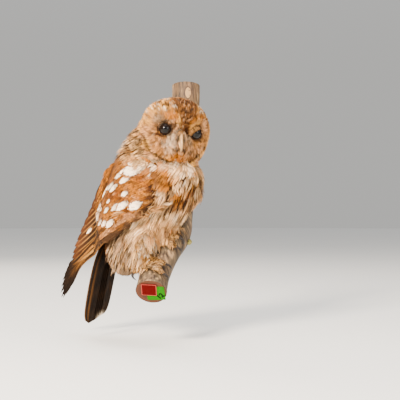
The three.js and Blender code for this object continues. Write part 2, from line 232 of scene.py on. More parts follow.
COLOURS = {
    "white": "#EBD5B6", "cream": "#CF9448", "buff": "#9A6327", "ochre": "#9C5A10",
    "rufous": "#80430F", "chestnut": "#48250F", "umber": "#29190D", "dark": "#120A05",
    "grey": "#9A7F63", "rose": "#C48C5C", "tan": "#8A5A2A", "face": "#99683A",
}
INK = {name: rgb(value) for name, value in COLOURS.items()}


def ink(name):
    return solid(INK[name])


# Patches on the breast: middle in the owl's frame, radius and colour.
BREAST_PATCHES = [
    ((-44, -42, 100), 15, "ochre"), ((-29, -51, 76), 14, "ochre"), ((-8, -66, 96), 9, "buff"),
    ((12, -62, 66), 9, "buff"), ((-47, -37, 82), 8, "white"), ((-26, -58, 112), 7, "white"),
    ((-12, -64, 78), 8, "rufous"), ((4, -62, 108), 7, "buff"), ((-38, -40, 58), 8, "buff"),
]


def body_colour(points):
    """Neck and trunk: white collar, cream breast, rufous back and pale down at the vent."""
    x, y, z = points.T
    fine = mottle(points, 5, 4)
    specks = ease(fine, 0.53, 0.62)
    colour = paint("cream", ("white", 0.3),
                   ("buff", ease(mottle(points, 14, 3), 0.45, 0.75) * 0.6),
                   ("rose", ease(mottle(points, 11, 8), 0.5, 0.8) * 0.5))
    for middle, radius, name in BREAST_PATCHES:
        pale = name == "white"
        away = norm(points - np.array(middle), axis=-1) + 9 * (fine - 0.5)
        patch = ease(away, radius * 1.2, radius * 0.6) * (0.6 if pale else 1.0)
        edge = bell(away - radius - 1, 3.6) * ease(-z + middle[2], -4, 3)
        colour = paint(colour, (name, patch), *([] if pale else [("umber", edge * 0.85)]))
    collar = bell(z - 129 + (y + 15) * 0.12, 9) * ease(y, -10, -26)
    side = ease(z, 118, 150) * ease(np.abs(x + 5), 18, 34)
    shoulder = ease(z, 90, 102) * ease(z, 131, 120) * ease(-x, 27, 35) * ease(y, -53, -43)
    vent = ease(z, 42, 8) * ease(y, -4, 26)
    mantle = paint("rufous", ("umber", ease(fine, 0.55, 0.75) * 0.7),
                   ("buff", ease(mottle(points, 9, 6), 0.62, 0.8) * 0.6))
    return paint(colour, ("white", collar * 0.95), ("chestnut", collar * specks * 0.75),
                 (paint("cream", ("white", 0.15)), side * 0.7), ("umber", side * specks * 0.75),
                 (paint("ochre", ("chestnut", ease(fine, 0.5, 0.65) * 0.7)), shoulder * 0.9),
                 ("grey", vent * 0.9), ("umber", vent * (0.3 + 0.4 * ease(fine, 0.55, 0.7))),
                 (mantle, ease(y - body_middle(z), 5, 35) * (1 - 0.8 * side)))


def leg_colour(points):
    """Legs and toes: grey and cream down with umber flecks."""
    return paint("cream", ("grey", mottle(points, 9, 22)),
                 ("umber", ease(mottle(points, 4.5, 21), 0.56, 0.68) * 0.8),
                 ("buff", ease(mottle(points, 7, 23), 0.55, 0.8) * 0.4))


# Patches on the face: middle x and z, half width, half height, colour and strength.
FACE_PATCHES = [
    (-38, 17, 9, 9, "grey", 0.6), (-13, 26, 12, 9, "ochre", 0.9), (-6, 18, 4, 6, "cream", 0.8),
    (-32, 3, 5, 3.5, "umber", 0.9), (-30, 12, 5, 3, "umber", 0.75),
    (-12.5, 12, 3.5, 4, "umber", 0.85), (-11.5, 0.5, 2.5, 4.5, "chestnut", 0.75),
    (-40, 5, 4, 3, "umber", 0.8), (-36, -8, 8, 2.6, "chestnut", 0.95),
    (-30, -3, 5, 2, "buff", 0.8),
    (-33, -15, 6, 2.6, "umber", 0.75), (-25, -19, 7, 3.6, "umber", 0.7),
    (-4, 3, 6, 9, "grey", 0.95), (-9, -9, 9, 9, "white", 0.4), (-9, -9, 10, 10, "grey", 0.75),
    (-17, -20, 8, 6, "white", 0.3), (11, -2, 5, 8, "grey", 0.8), (15, -14, 6, 8, "grey", 0.6),
    (25, -11, 6, 9, "buff", 0.5), (22, 13, 6, 4, "umber", 0.6), (36, 12, 6, 16, "rose", 0.8),
    (31, 28, 5, 4, "rufous", 0.8), (32, -33, 5, 6, "umber", 0.9), (23, -36, 5, 3, "chestnut", 0.7),
    (9, 6, 5, 6, "chestnut", 1.0), (-13, -29, 7, 4, "grey", 0.6), (0, -38, 14, 7, "ochre", 1.0),
    (6, -38, 5, 4, "rufous", 0.8), (-12, -38, 4, 3, "cream", 0.8),
    (-2.5, -25, 5, 3.4, "dark", 0.95), (7.5, -26, 3.2, 3, "dark", 0.85),
]
crown_line = through((-50, 6), (-43, 24), (-28, 31), (-9.5, 31), (8, 31), (22, 34), (36, 29),
                     (50, 8))
wedge_left = through((2, 5), (7, 3), (12, 0), (24, -4), (37, -9), (52, -16))
wedge_right = through((2, 10), (7, 13), (17, 16), (26, 18), (36, 20), (52, 25))


def face_weight(head):
    """1 on the facial disc and 0 outside its rim."""
    x, y, z = head.T
    return ease(np.hypot(x, z), 49, 44) * ease(y, 4, -8) * ease(z - crown_line(x), 2, -2)


def head_colour(points):
    """Speckled crown, dark forehead wedge, warm disc with grey lores and an ochre chin."""
    head = owl_to_head(points)
    x, y, z = head.T
    away, blotch, fine = np.hypot(x, z), mottle(points, 10, 31), mottle(points, 3.2, 32)
    crown = paint("buff", ("cream", ease(blotch, 0.35, 0.6) * 0.8),
                  ("umber", ease(fine, 0.5, 0.6) * 0.85),
                  ("white", ease(mottle(points, 3.4, 33), 0.66, 0.8) * 0.6))
    cheek = paint("cream", ("rose", ease(blotch, 0.3, 0.6)),
                  ("chestnut", ease(fine, 0.6, 0.7) * 0.7))
    disc = paint("face", ("rose", ease(mottle(points, 13, 34), 0.4, 0.7)),
                 ("buff", ease(away, 24, 42) * 0.4),
                 ("umber", ease(fine, 0.58, 0.68) * ease(away, 20, 34) * 0.65))
    for side in (-1, 1):
        gap = np.hypot(x - side * EYE_SIDE, z - EYE_UP)
        disc = paint(disc, ("chestnut", bell(gap - 11, 3) * 0.5),
                     ("dark", ease(gap, 11.5, 9.0) * 0.85))
    broken = mottle(points, 4, 36) - 0.5
    for px, pz, wide, high, name, amount in FACE_PATCHES:
        gap = np.hypot((x - px) / wide, (z - pz) / high) + broken
        disc = paint(disc, (name, ease(gap, 1.25, 0.6) * amount))
    low = np.maximum(z + 4, 4)
    inside = ease(x - wedge_left(low), -1.5, 1) * ease(x - wedge_right(low), 1.5, -1)
    wedge = paint("chestnut", ("tan", 0.3), ("umber", ease(fine, 0.48, 0.6) * 0.9),
                  ("chestnut", ease(z, 26, 12) * 0.6),
                  ("rose", ease(mottle(points, 2.1, 37), 0.66, 0.76) * 0.45))
    # The pale brow runs up and out from the bill over the inner half of the left eye.
    run, off = (x - 6.6) * 0.73 + (z - 5.5) * 0.68, (z - 5.5) * 0.73 - (x - 6.6) * 0.68
    brow = ease(run, 5, 9) * ease(run, 33, 27) * ease(y, 0, -10)
    middle = bell(x + 5 + 0.25 * (z - 18), 2.0) * ease(z, 6, 12) * ease(z, 32, 26)
    middle = middle * ease(y, 0, -10)
    rim = bell(away - 46.5 - 5 * ease(-x, 20, 42), 2.2) * ease(y, 8, -4)
    rim = rim * ease(mottle(points, 6, 35), 0.25, 0.45)
    return paint(cheek, (crown, ease(z + y * 0.15, 4, 26)), (disc, face_weight(head)),
                 (wedge, inside * ease(z, -2, 2) * ease(y, 20, 0) * 0.95),
                 ("ochre", bell(off - 5.5, 2.4) * brow * ease(run, 9, 14) * 0.7),
                 ("cream", bell(off, 2.6) * brow * 0.85), ("cream", middle * 0.7),
                 ("dark", rim * ease(z, -4, -18) * 0.95),
                 ("chestnut", rim * ease(z, -12, 10) * 0.5))


def wing_colour(along, across, points):
    """Coverts: smooth rufous at the bend, greyer and paler towards the flight feathers, with
    painted shadow along the front edge.
    """
    low, edge = across - front_edge(along), across - back_edge(along)
    hind = ease(along, 34, 56)
    lines = bell(edge + 6, 1.4) + bell(edge + 13, 1.4) + bell(edge + 21, 1.4)
    return paint("ochre", ("rufous", ease(mottle(points, 12, 42), 0.45, 0.7)),
                 ("tan", ease(along, 55, 110) * 0.5),
                 ("umber", ease(mottle(points, 2.6, 41), 0.6, 0.75) * 0.4),
                 ("rose", ease(mottle(points, 5, 43), 0.62, 0.75) * 0.4),
                 ("chestnut", bell(low - 8, 9) * ease(along, -16, 2) * 0.5),
                 # Painted shadow: umber where the breast feathers lie over the front of the wing.
                 ("umber", ease(across - breast_line(along), 12, 0) * ease(along, 70, 50) * 0.8),
                 # A rose band along the lower front edge, then a painted shadow line at the very
                 # edge where the wing meets the belly.
                 ("rose", ease(low, 15, 10) * hind * 0.55),
                 ("umber", ease(low, 4.5, 2.5) * hind * 0.9), ("ochre", ease(edge, -28, -8) * 0.8),
                 ("chestnut", np.clip(lines, 0, 1) * ease(along, -16, 10) * 0.8))


# ---- meshes

def placed(name, mesh):
    """An object at the origin for a mesh."""
    thing = bpy.data.objects.new(name, mesh)
    bpy.context.scene.collection.objects.link(thing)
    return thing


def make_mesh(name, points, faces):
    """A smooth object from world points in metres and equal-sided faces."""
    mesh = bpy.data.meshes.new(name)
    faces = np.ascontiguousarray(faces, np.int32)
    mesh.vertices.add(np.size(points) // 3)
    mesh.vertices.foreach_set("co", np.ascontiguousarray(points, np.float32).ravel())
    mesh.loops.add(faces.size)
    mesh.loops.foreach_set("vertex_index", faces.ravel())
    mesh.polygons.add(len(faces))
    starts = np.arange(0, faces.size, faces.shape[1], dtype=np.int32)
    mesh.polygons.foreach_set("loop_start", starts)
    mesh.update(calc_edges=True)
    mesh.shade_smooth()
    return placed(name, mesh)


@contextmanager
def reshaped(mesh):
    """Opens a mesh for editing; when it is put back, its faces point outwards."""
    shape = bmesh.new()
    shape.from_mesh(mesh)
    yield shape
    bmesh.ops.recalc_face_normals(shape, faces=shape.faces[:])
    shape.to_mesh(mesh)
    shape.free()


def round_angles(sides):
    return np.linspace(0, 2 * pi, sides, endpoint=False)


def tube_faces(rings, sides):
    """The four-sided faces of a tube, open at its ends, whose rings follow each other."""
    index = np.arange(rings * sides).reshape(rings, sides)
    after = np.roll(index, -1, axis=1)
    return np.stack([index[:-1], after[:-1], after[1:], index[1:]], axis=-1).reshape(-1, 4)


def read(items, name, width=1, kind=np.float32):
    """One property of all items as an array with so many columns."""
    values = np.empty(len(items) * width, kind)
    items.foreach_get(name, values)
    return values.reshape(-1, width).squeeze()


def points_of(thing, kind="co"):
    """The places of an object's vertices, or their normals."""
    return read(thing.data.vertices, kind, 3).astype(float)


def give_point_data(thing, name, values):
    """Three values for each vertex as a vector, or four as a colour."""
    kind = "FLOAT_COLOR" if values.shape[-1] == 4 else "FLOAT_VECTOR"
    key = "color" if kind == "FLOAT_COLOR" else "vector"
    layer = thing.data.attributes.new(name, kind, "POINT")
    layer.data.foreach_set(key, np.ascontiguousarray(values, np.float32).ravel())


def give_tint(thing, colours):
    solid_colours = np.concatenate([colours, np.ones((*colours.shape[:-1], 1))], axis=-1)
    give_point_data(thing, "tint", solid_colours)


def give_bake_map(thing, per_point):
    layer = thing.data.uv_layers.new(name="OFBake")
    corner = read(thing.data.loops, "vertex_index", kind=np.int32)
    layer.data.foreach_set("uv", np.ascontiguousarray(per_point[corner], np.float32).ravel())


def settle(thing, materials, slot, *nodes):
    """Gives a finished piece its materials and body, and hides the CAD nodes it stands for; the
    slot is not used.
    """
    for each in materials if isinstance(materials, list) else [materials]:
        thing.data.materials.append(each)
    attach(thing, BODY)
    if nodes:
        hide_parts(*nodes)
    return thing


def joined_copy(name, *nodes, levels=0):
    """One merged mesh from the CAD nodes, whose own meshes stay as they are."""
    mesh = bpy.data.meshes.new(name)
    with reshaped(mesh) as shape:
        for node in nodes:
            shape.from_mesh(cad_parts[node].data)
        bmesh.ops.remove_doubles(shape, verts=shape.verts, dist=WELD)
    thing = placed(name, mesh)
    if levels:
        rounding = thing.modifiers.new("rounding", "SUBSURF")
        rounding.levels = rounding.render_levels = levels
        bake_modifiers(thing)
        thing.data.shade_smooth()
    return thing


def bake_modifiers(thing):
    """Turns the evaluated object into its plain mesh and drops the modifiers."""
    evaluated = thing.evaluated_get(bpy.context.evaluated_depsgraph_get())
    mesh = bpy.data.meshes.new_from_object(evaluated)
    old = thing.data
    thing.modifiers.clear()
    thing.data = mesh
    bpy.data.meshes.remove(old)
    return thing


def tree_of(thing):
    return BVHTree.FromPolygons(world_to_owl(points_of(thing)).tolist(),
                                [tuple(face.vertices) for face in thing.data.polygons])


# ---- nodes and materials

MODES = {"Math": "operation", "VectorMath": "operation", "Mix": "data_type",
         "MapRange": "interpolation_type"}


def result(node):
    """A socket as it is, or a node's first open output."""
    if isinstance(node, bpy.types.NodeSocket):
        return node
    return next(socket for socket in node.outputs if socket.enabled)


def add_node(tree, kind, *given, **settings):
    """Adds a node with its settings, and links or sets its open inputs, in order or by name.

    A second word in kind is the node's mode, as in "Math MULTIPLY".
    """
    kind, _, mode = kind.partition(" ")
    node = tree.nodes.new(kind if "Node" in kind else "ShaderNode" + kind)
    for name, value in {**({MODES[kind]: mode} if mode else {}), **settings}.items():
        setattr(node, name, value)
    opened = [socket for socket in node.inputs if socket.enabled]
    named = given[0] if given and isinstance(given[0], dict) else dict(enumerate(given))
    for key, value in named.items():
        socket = opened[key] if isinstance(key, int) else node.inputs[key]
        if isinstance(value, (bpy.types.Node, bpy.types.NodeSocket)):
            tree.links.new(result(value), socket)
        else:
            socket.default_value = value
    return node


def material(name, **shader):
    """A new material, the function that adds nodes to it, and its place on the object."""
    made = bpy.data.materials.new(name)
    made.use_nodes = True
    for socket, value in shader.items():
        surface = made.node_tree.nodes["Principled BSDF"]
        surface.inputs[socket.replace("_", " ")].default_value = value
    add = partial(add_node, made.node_tree)
    return made, add, add("TexCoord").outputs["Object"]


def layered(add, colour, *layers):
    """Lays shades over a colour in turn, each with its share where a pattern goes low to high."""
    for pattern, low, high, share, shade in layers:
        mask = add("MapRange SMOOTHSTEP", pattern, low, high, 0.0, share)
        colour = add("Mix RGBA", mask, colour, shade)
    return colour


def dress(mat, colour, relief=None, strength=0.0, depth=0.0):
    """Joins a colour to the shader, and a relief with its depth in mm."""
    tree, ends = mat.node_tree, {"Base Color": colour}
    if relief:
        ends["Normal"] = add_node(tree, "Bump", {
            "Height": relief, "Strength": strength, "Distance": depth * MM})
    for name, node in ends.items():
        tree.links.new(result(node), tree.nodes["Principled BSDF"].inputs[name])
    return mat


def plumage(name, barb=1.2, bar_colour="umber", roughness=0.78, vermiculation=0.0, sheen=0.04):
    """Feather keratin: matt, finely ribbed by its barbs, with a soft sheen from their down."""
    mat, add, place = material(name, Roughness=roughness, Sheen_Weight=sheen, IOR=1.54,
                               Sheen_Tint=rgba("#C88A50"), Sheen_Roughness=0.4,
                               Specular_IOR_Level=0.06)
    vane, mark = (add("Attribute", attribute_name=kind).outputs["Vector"]
                  for kind in ("vane", "mark"))
    across, along, chance = add("SeparateXYZ", vane).outputs
    streak, spot, bar = add("SeparateXYZ", mark).outputs
    blot = add("TexNoise", place, 1 / (2.2 * MM), 3)
    uneven = add("Math SUBTRACT", blot, 0.5)
    wide = add("Math ABSOLUTE", across)
    # The dark streak follows the shaft and frays where the blotches are strong.
    frayed = add("Math MULTIPLY_ADD", blot, 0.5, add("Math SUBTRACT", wide, 0.25))
    streak = add("MapRange SMOOTHSTEP", along, 0.2, 0.45, 0.0, streak)
    phase = add("Math ADD", add("Math MULTIPLY_ADD", wide, -0.12, along),
                add("Math MULTIPLY", chance, 0.1))
    wave = add("Math ADD", add("Math SINE", add("Math MULTIPLY", phase, 24.0)), uneven)
    # The white spot is an oval over the end of the vane, inside a narrow dark edge.
    oval = add("Math ADD", *(add("Math POWER", add("Math MULTIPLY", value, size), 2.0) for
                             value, size in ((add("Math SUBTRACT", along, 0.62), 2.7),
                                             (across, 1.2))))
    oval = add("Math MULTIPLY_ADD", uneven, 2.4, oval)
    pale = layered(add, ink("white"), (add("TexNoise", place, 1 / (4.0 * MM), 3), 0.5, 0.75, 1.0,
                                       ink("grey")))
    colour = layered(add, add("Attribute", attribute_name="tint"),
                     (frayed, 0.42, 0.16, streak, ink("umber")),
                     (wave, 0.15, 0.75, bar, ink(bar_colour)),
                     (oval, 1.5, 1.15, spot, ink("chestnut")), (oval, 0.95, 0.75, spot, pale))
    if vermiculation:
        # Real vermiculation is finer than this; drawn coarser, so that it shows at all.
        speck = add("TexNoise", place, 1 / (3.4 * MM), 1.5, 0.6)
        share = add("Math MULTIPLY", add("Math SUBTRACT", 1.0, spot, use_clamp=True),
                    vermiculation)
        colour = layered(add, colour, (speck, 0.5, 0.58, share, ink("umber")))
    # Barbs slant outwards from the shaft, one each barb spacing.
    slant = add("Math MULTIPLY_ADD", wide, -0.35, along)
    rib = add("Math SINE", add("Math MULTIPLY", slant, 150.0 / barb))
    tone = add("Math MULTIPLY_ADD", rib, 0.06, add("Math MULTIPLY_ADD", chance, 0.58, add(
        "Math MULTIPLY_ADD", blot, 0.56, 0.51)))
    # Painted light and shade: a feather darkens towards its base, partly for its grey down and
    # partly as painted shade from the feathers lying over it, and its tip is painted a little
    # lighter.
    tone = add("Math MULTIPLY", tone, add("MapRange SMOOTHSTEP", along, 0.05, 0.75, 0.26, 1.06))
    return dress(mat, add("HueSaturation", {"Value": tone, "Color": colour}), rib, 0.25, 0.3)


def blotched(name, size, first, second, strength=0.0, depth=0.0, detail=3, **shader):
    """A material of two colours in blotches of so many mm, which may also stand out."""
    mat, add, place = material(name, **shader)
    blots = add("TexNoise", place, 1 / (size * MM), detail)
    return dress(mat, add("Mix RGBA", blots, first, second), depth and blots, strength, depth)


# ---- the skin

FLESH = ["head", "neck", "trunk", "leg_right", "leg_left", "foot_right", "foot_left",
         "wing_coverts_right", "wing_coverts_left"]
COAT_DEPTH = {"head": 4.0, "neck": 6.0, "trunk": 7.0, "leg": 4.5, "foot": 1.6, "wing": 1.2}
shared = {}


def region_of(node):
    """The part of the body that a node stands for, without its side."""
    return node.split("_")[0]


def eye_centre(side):
    return np.array([side * EYE_SIDE, EYE_DEPTH, EYE_UP])


def move_points(thing, points):
    thing.data.vertices.foreach_set("co", np.ascontiguousarray(points, np.float32).ravel())
    thing.data.update()


def build_skin():
    """Joins the flesh solids, sinks them by the depth of the coat and adds the lid margins."""
    skin = joined_copy("skin", *FLESH)
    remesh = skin.modifiers.new("solid", "REMESH")
    remesh.mode, remesh.voxel_size = "VOXEL", SKIN_VOXEL
    soften = skin.modifiers.new("soften", "SMOOTH")
    soften.iterations, soften.factor = 6, 0.5
    bake_modifiers(skin)
    mesh = skin.data
    points = world_to_owl(points_of(skin))
    trees = [tree_of(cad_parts[node]) for node in FLESH]
    part = np.nanargmin(np.array([[tree.find_nearest(Vector(point), 30.0)[3] for tree in trees]
                                  for point in points], float), axis=1)
    depth = np.array([COAT_DEPTH[region_of(node)] for node in FLESH])[part]
    edges = read(mesh.edges, "vertices", 2, np.int32)
    degree = np.bincount(edges.ravel(), minlength=len(points))
    for _ in range(12):
        total = np.bincount(edges[:, 0], depth[edges[:, 1]], len(points))
        total += np.bincount(edges[:, 1], depth[edges[:, 0]], len(points))
        depth = 0.5 * depth + 0.5 * total / np.maximum(degree, 1)
    head = owl_to_head(points)
    from_eyes = np.min([norm(head - eye_centre(side), axis=1) for side in (-1, 1)], axis=0)
    depth = depth * (0.25 + 0.75 * ease(from_eyes, 10, 16))
    normals = points_of(skin, "normal") @ OWL_AXES
    move_points(skin, owl_to_world(points - normals * depth[:, None]))
    bare = len(points)
    add_lids(skin)
    points = world_to_owl(points_of(skin))
    extra = len(points) - bare
    part = np.r_[part, np.full(extra, FLESH.index("head"))]
    depth = np.r_[depth, np.zeros(extra)]
    bpy.context.view_layer.objects.active = skin
    bpy.ops.object.select_all(action="DESELECT")
    skin.select_set(True)
    bpy.ops.object.mode_set(mode="EDIT")
    bpy.ops.mesh.select_all(action="SELECT")
    bpy.ops.uv.smart_project(angle_limit=radians(66), island_margin=0.002)
    bpy.ops.object.mode_set(mode="OBJECT")
    mesh.uv_layers[0].name = "OFBake"
    colours = colour_of_parts(points, part)
    colours[bare:] = INK["umber"] * 0.9
    give_tint(skin, colours * 0.8)
    flat = np.zeros((len(points), 3))
    give_point_data(skin, "vane", flat + [1.0, 0.0, 0.5])
    give_point_data(skin, "mark", flat)
    mesh.shade_smooth()
    settle(skin, plumage("down_over_skin", vermiculation=0.15), "plumage_body", *FLESH)
    remember_skin(skin, part, depth)


LID_ANGLE = radians(62)


def eye_axes(side):
    """Where an eye looks, level across it and up, in the head's frame."""
    gaze = unit([side * 0.14, -1.0, 0.02])
    level = unit(np.cross(gaze, [0, 0, 1.0]))
    return gaze, level, np.cross(level, gaze)


def add_lids(skin):
    """A bare, slightly thickened lid margin round each eye, joined to the skin."""
    sides, cross = 48, 10
    with reshaped(skin.data) as shape:
        for side in (-1, 1):
            gaze, level, upright = eye_axes(side)
            rows = []
            for phi in 2 * pi * np.arange(sides) / sides:
                outward = cos(phi) * level + sin(phi) * upright
                angle = LID_ANGLE - 0.10 * max(sin(phi), 0.0)
                middle = EYE_RADIUS * (cos(angle) * gaze + sin(angle) * outward)
                along = unit(-sin(angle) * gaze + cos(angle) * outward) * 1.9
                out = unit(middle) * 0.75
                ring = [middle + along * cos(turn) + out * sin(turn) + eye_centre(side)
                        for turn in 2 * pi * np.arange(cross) / cross]
                rows.append([shape.verts.new(p) for p in owl_to_world(head_to_owl(ring))])
            for row, after in zip(rows, rows[1:] + rows[:1]):
                for j in range(cross):
                    k = (j + 1) % cross
                    shape.faces.new([row[j], row[k], after[k], after[j]])


def colour_of_parts(points, part):
    """The colour of each place on the skin, by the part of the body that it belongs to."""
    colours = body_colour(points)
    regions = np.array([region_of(node) for node in FLESH])[part]
    for region, colour_of in (("head", head_colour), ("leg", leg_colour), ("foot", leg_colour)):
        chosen = regions == region
        colours[chosen] = colour_of(points[chosen])
    for side, wing in WINGS.items():
        chosen = part == FLESH.index("wing_coverts_" + side)
        along, across = wing_place(wing, points[chosen])
        colours[chosen] = wing_colour(along, across, points[chosen])
    return colours


def remember_skin(skin, part, depth):
    """Keeps what the coats grow from: the skin's triangles, parts, bake places and tree."""
    mesh = skin.data
    mesh.calc_loop_triangles()
    corners, loops = (read(mesh.loop_triangles, kind, 3, np.int32)
                      for kind in ("vertices", "loops"))
    uv = read(mesh.uv_layers["OFBake"].data, "uv", 2)[loops].astype(float)
    points = world_to_owl(points_of(skin))
    shared.update(points=points, corners=corners, part=part[corners[:, 0]], depth=depth, uv=uv,
                  tree=BVHTree.FromPolygons(points.tolist(), corners.tolist()))


def nearest_on_skin(points):
    """Nearest places, normals and triangles of the skin."""
    found = [shared["tree"].find_nearest(Vector(p)) for p in points]
    return tuple(np.array(values) for values in list(zip(*found))[:3])


def scatter(nodes, spacing, seed, keep=None):
    """Roots spread evenly over the skin of some parts, with normals, bake places and depths."""
    draw = default_rng(seed)
    ids = np.flatnonzero(np.isin(shared["part"], [FLESH.index(node) for node in nodes]))
    a, b, c = (shared["points"][shared["corners"][ids, k]] for k in range(3))
    cross = np.cross(b - a, c - a)
    area = norm(cross, axis=1) / 2
    count = int(area.sum() / spacing ** 2 * 6)
    pick = draw.choice(len(ids), count, p=area / area.sum())
    u, v = draw.random((2, count))
    fold = u + v > 1
    u[fold], v[fold] = 1 - u[fold], 1 - v[fold]
    weights = np.stack([1 - u - v, u, v], axis=1)
    roots = (weights[:, :1] * a[pick] + weights[:, 1:2] * b[pick] + weights[:, 2:] * c[pick])
    # Of the roots in one cell of the spacing only the middlemost stays.
    cell = np.floor(roots / spacing).astype(np.int64)
    key = cell @ np.array([1, 4096, 4096 * 4096])
    order = np.lexsort((norm(roots - (cell + 0.5) * spacing, axis=1), key))
    first = np.sort(order[np.r_[True, np.diff(key[order]) != 0]])
    roots, pick, weights = roots[first], pick[first], weights[first]
    triangles = ids[pick]
    grown = (roots, unit(cross[pick]),
             (weights[:, :, None] * shared["uv"][triangles]).sum(axis=1),
             (weights * shared["depth"][shared["corners"][triangles]]).sum(axis=1))
    if keep is None:
        return grown
    kept = keep(*grown[:2])
    return tuple(values[kept] for values in grown)


def astray(lay, roots, draw, spread):
    """Ways that follow the lay of the coat, each a little off it."""
    return unit(lay(roots) + draw.normal(0, spread, roots.shape))


def open_to_air(roots, normals, reach=26.0):
    """False where the wing or the body lies close over the skin."""
    tree = shared["tree"]
    return np.array([tree.ray_cast(Vector(r + n * 1.5), Vector(n), reach)[0] is None
                     for r, n in zip(roots, normals)], bool)


def trace(roots, ways, length, rise, steps, lay, loose=0.0):
    """Paths that run over the skin and lift off it, with their outward directions."""
    path, out = np.empty((2, len(roots), steps + 1, 3))
    length = np.broadcast_to(length, len(roots)).astype(float)
    at = roots.copy()
    for step in range(steps + 1):
        places, normals, _ = nearest_on_skin(at)
        if step:
            normals = unit(normals + out[:, step - 1])
        t = step / steps
        height = rise * t ** 0.7 - ROOT_DEPTH * (1 - t) + loose * length * t * t
        path[:, step] = places + normals * height[:, None]
        out[:, step] = normals
        ways = unit(0.5 * ways + 0.5 * lay(places))
        ways = unit(ways - normals * (ways * normals).sum(1, keepdims=True))
        at = places + ways * (length / steps)[:, None]
    return path, out


def between(path, at, part):
    """Places a part of the way from each station of some paths to the next."""
    return path[at] * (1 - part) + path[at[:-1] + (at[-1] + 1,)] * part


def feathers(name, path, out, width, colours, uv, seed, blades=5, steps=4, tip=0.3, cup=0.3,
             spread=1.0, streak=0.0, spot=0.0, bar=0.0, ragged=0.1, taper=0.0):
    """Split vanes: each feather is a fan of thin blades along its path."""
    draw = default_rng(seed)
    count, stations = path.shape[:2]
    width = np.broadcast_to(width, count).astype(float)[:, None, None]
    chance = draw.random(count)
    lane = np.linspace(-1, 1, blades) + draw.normal(0, 0.08, (count, blades))
    reach = 1 - tip * lane ** 2 - draw.random((count, blades)) * ragged
    t = np.linspace(0, 1, steps + 1)[None, None, :] * reach[:, :, None]
    low = np.clip((t * (stations - 1)).astype(int), 0, stations - 2)
    part = (t * (stations - 1) - low)[..., None]
    at = (np.arange(count)[:, None, None], low)
    along = unit(path[at[0], low + 1] - path[at])
    up = unit(between(out, at, part))
    sideways = unit(np.cross(up, along))
    fan = (0.25 + 0.75 * np.sqrt(np.clip(t * 2.2, 0, 1))) * (1 - taper * t ** 2)
    offset = lane[:, :, None] * fan * width * spread
    drop = cup * offset ** 2 / np.maximum(width, 0.1)
    drop = drop + draw.normal(0, 0.12, (count, blades))[:, :, None]
    centre = between(path, at, part) + sideways * offset[..., None] - up * drop[..., None]
    half = 1.25 * width * fan / blades * np.r_[np.ones(steps - 1), 0.72, 0.0]
    edge = sideways * half[..., None]
    body = np.stack([(centre - edge)[:, :, :-1], (centre + edge)[:, :, :-1]], axis=3)
    points = np.concatenate([body.reshape(count, blades, -1, 3), centre[:, :, -1:]], axis=2)
    relative = np.stack([offset - half, offset + half], axis=-1) / width[..., None]
    relative = np.concatenate([relative[:, :, :-1].reshape(count, blades, -1),
                               lane[:, :, None]], axis=2)
    lengthwise = np.concatenate([np.repeat(t[:, :, :-1], 2, axis=2), t[:, :, -1:]], axis=2)
    each_blade = points.shape[2]
    strip = [corners for a in range(0, 2 * steps - 2, 2)
             for corners in ((a, a + 1, a + 3), (a, a + 3, a + 2))]
    strip = np.array(strip + [(2 * steps - 2, 2 * steps - 1, 2 * steps)])
    faces = (np.arange(count * blades)[:, None, None] * each_blade + strip).reshape(-1, 3)
    thing = make_mesh(name, owl_to_world(points), faces)

    def each(values):
        values = np.broadcast_to(values, (count,)).astype(float)
        return np.broadcast_to(values[:, None, None], relative.shape)

    for kind, values in (("vane", [relative, lengthwise, each(chance)]),
                         ("mark", [each(streak), each(spot), each(bar)])):
        give_point_data(thing, kind, np.stack(values, axis=-1))
    shade = 1 + draw.normal(0, 0.05, (count, blades, 1))
    tint = np.broadcast_to(colours[:, None, None, :], points.shape)
    give_tint(thing, np.clip(tint * shade[..., None], 0, 1))
    patch = np.stack([relative * 0.45, lengthwise - 0.5], axis=-1) * BAKE_PATCH
    give_bake_map(thing, (uv[:, None, None, :] + patch).reshape(-1, 2))
    return thing


# ---- the coats

BODY_RUN = unit([0.0, 0.62, -0.78])
COVERTS = ["wing_coverts_right", "wing_coverts_left"]
ROOT_DEPTH = 0.6            # how far the root of a feather sits under the skin
breast_line = through((-20, -6), (6, -17), (25, -30), (45, -35), (60, -60))


def lay_body(points):
    """From the throat to the tail, drawn in towards the feet under the belly."""
    return unit(BODY_RUN + ease(points[:, 2], 70, 10)[:, None] * np.array([0.0, -0.25, -0.25]))


def lay_head(points):
    """Out from each eye on the disc, and back from the forehead over the crown."""
    x, y, z = owl_to_head(points).T
    none = 0 * x
    side = np.where(x < 0, -1.0, 1.0)
    from_eye = unit(np.stack([x - side * EYE_SIDE * 0.92, none, z - EYE_UP], axis=1))
    away = np.hypot(x, z)
    rim = ease(away, 38, 50)[:, None]
    outward = unit(np.stack([x, none, z], axis=1)) * ease(away, 30, 48)[:, None]
    way = from_eye * (1 - rim) + outward + np.array([0, 1.0, 0]) * rim
    middle = bell(x - 4, 4 + 12 * ease(z, 8, 40)) * ease(z, 4, 14)
    for share, turned in (
            (bell(x, 9) * ease(z, 12, -2), (side * 0.35, none - 0.1, none - 1.0)),
            (bell(np.abs(x) - 9, 7) * ease(z, 0, 10), (side * 0.7, none + 0.3, none + 1.0)),
            (middle, (x * 0.012, none + 0.6, none + 1.1)),
            (ease(y, -6, 14), (none, none + 0.7, none - 0.7 * (1 - ease(z, 20, 40))))):
        way = blend(way, np.stack(turned, axis=1), share)
    return unit(way @ HEAD_AXES.T)


def paint_random(colours, draw, amount, *names):
    """Gives a share of the feathers another colour, so the coat isn't even."""
    chance = draw.random(len(colours))
    share = amount / len(names)
    for k, name in enumerate(names):
        chosen = (chance > k * share) & (chance < (k + 1) * share)
        colours[chosen] = 0.45 * colours[chosen] + 0.55 * INK[name]
    return colours


def nape(points):
    """Extra fluff in mm where the neck feathers stand out behind the cheek."""
    return 8 * bell(norm(points - np.array([-45.0, 8, 177]), axis=1), 25)


